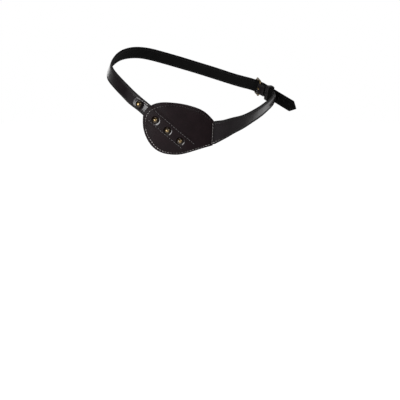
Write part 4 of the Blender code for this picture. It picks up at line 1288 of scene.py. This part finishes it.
m = bpy.data.materials.new("backdrop_white")
m.use_nodes = True
tree = m.node_tree
tree.nodes.clear()
glow = node(tree, "ShaderNodeEmission")
glow.inputs["Color"].default_value = (1, 1, 1, 1)
glow.inputs["Strength"].default_value = 1.0
exit_node = node(tree, "ShaderNodeOutputMaterial")
tree.links.new(glow.outputs[0], exit_node.inputs[0])
me = bpy.data.meshes.new("backdrop")
bm = bmesh.new()
bmesh.ops.create_uvsphere(bm, u_segments=48, v_segments=24, radius=6.0)
bm.to_mesh(me)
bm.free()
me.materials.append(m)
backdrop = bpy.data.objects.new("backdrop", me)
scene.collection.objects.link(backdrop)
backdrop.visible_diffuse = False
backdrop.visible_glossy = False
backdrop.visible_transmission = False
backdrop.visible_volume_scatter = False
backdrop.visible_shadow = False

# surroundings: pale behind, dim in front, some light from below
world = bpy.data.worlds.new("studio")
scene.world = world
world.use_nodes = True
tree = world.node_tree
tree.nodes.clear()
coord = node(tree, "ShaderNodeTexCoord")


def towards(x, y, z, lo, hi, out_lo, out_hi):
    """Strength that rises for directions near (x, y, z)."""
    dot = node(tree, "ShaderNodeVectorMath", operation="DOT_PRODUCT")
    dot.inputs[1].default_value = unit([x, y, z])
    tree.links.new(coord.outputs["Generated"], dot.inputs[0])
    fade = node(tree, "ShaderNodeMapRange", interpolation_type="SMOOTHSTEP")
    for key, value in (("From Min", lo), ("From Max", hi), ("To Min", out_lo), ("To Max", out_hi)):
        fade.inputs[key].default_value = value
    tree.links.new(dot.outputs["Value"], fade.inputs["Value"])
    return fade.outputs["Result"]


back_light = towards(-0.342, 0.940, 0.08, 0.20, 0.80, 0.06, 0.42)
low_light = towards(0.11, -0.62, -0.78, 0.30, 0.97, 0.0, 0.95)
side_light = towards(0.79, 0.62, -0.20, 0.50, 0.97, 0.0, 0.12)
sky = node(tree, "ShaderNodeBackground")
sky.inputs["Color"].default_value = (1, 1, 1, 1)
tree.links.new(math_node(tree, "ADD", math_node(tree, "ADD", back_light, low_light), side_light),
               sky.inputs["Strength"])
exit_node = node(tree, "ShaderNodeOutputWorld")
tree.links.new(sky.outputs[0], exit_node.inputs[0])


def softbox(name, azimuth, elevation, distance, size, power, aim=(0.01, -0.03, -0.01)):
    data = bpy.data.lights.new(name, "AREA")
    data.shape = "RECTANGLE"
    data.size, data.size_y = size
    data.energy = power
    ob = bpy.data.objects.new(name, data)
    scene.collection.objects.link(ob)
    a, e = math.radians(azimuth), math.radians(elevation)
    back = Vector((math.sin(a) * math.cos(e), -math.cos(a) * math.cos(e), math.sin(e)))
    ob.location = Vector(aim) + back * distance
    ob.rotation_euler = back.to_track_quat("Z", "Y").to_euler()
    ob.visible_camera = False
    return ob


softbox("key_left", -4, -3, 1.7, (0.6, 1.2), 17)
softbox("key_right", 68, 19, 1.7, (0.45, 0.6), 5.5)
softbox("top", 30, 86, 1.7, (1.3, 1.3), 6)
softbox("spot", 48, 24, 1.7, (0.22, 0.22), 1.5)
softbox("rim_left", -134, 5, 1.7, (0.85, 0.8), 2.2)
softbox("rim_right", 159, -2, 1.7, (0.85, 0.9), 1.85)

cam_data = bpy.data.cameras.new("camera")
cam_data.sensor_width = 36
cam_data.lens = 135
cam_data.clip_start, cam_data.clip_end = 0.05, 50
cam = bpy.data.objects.new("camera", cam_data)
scene.collection.objects.link(cam)
az, el = math.radians(30), math.radians(6)
back = Vector((math.sin(az) * math.cos(el), -math.cos(az) * math.cos(el), math.sin(el)))
right = Vector((math.cos(az), math.sin(az), 0))
up = back.cross(right)
place = Matrix.Identity(4)
for i, axis in enumerate((right, up, back)):
    for r in range(3):
        place[r][i] = axis[r]
for r, x in enumerate((0.760629, -1.296448, 0.049384)):
    place[r][3] = x
cam.matrix_world = place
scene.camera = cam

scene.view_settings.view_transform = "Standard"
scene.view_settings.look = "None"
scene.view_settings.exposure = 0.0
scene.view_settings.gamma = 1.0

bpy.context.view_layer.update()
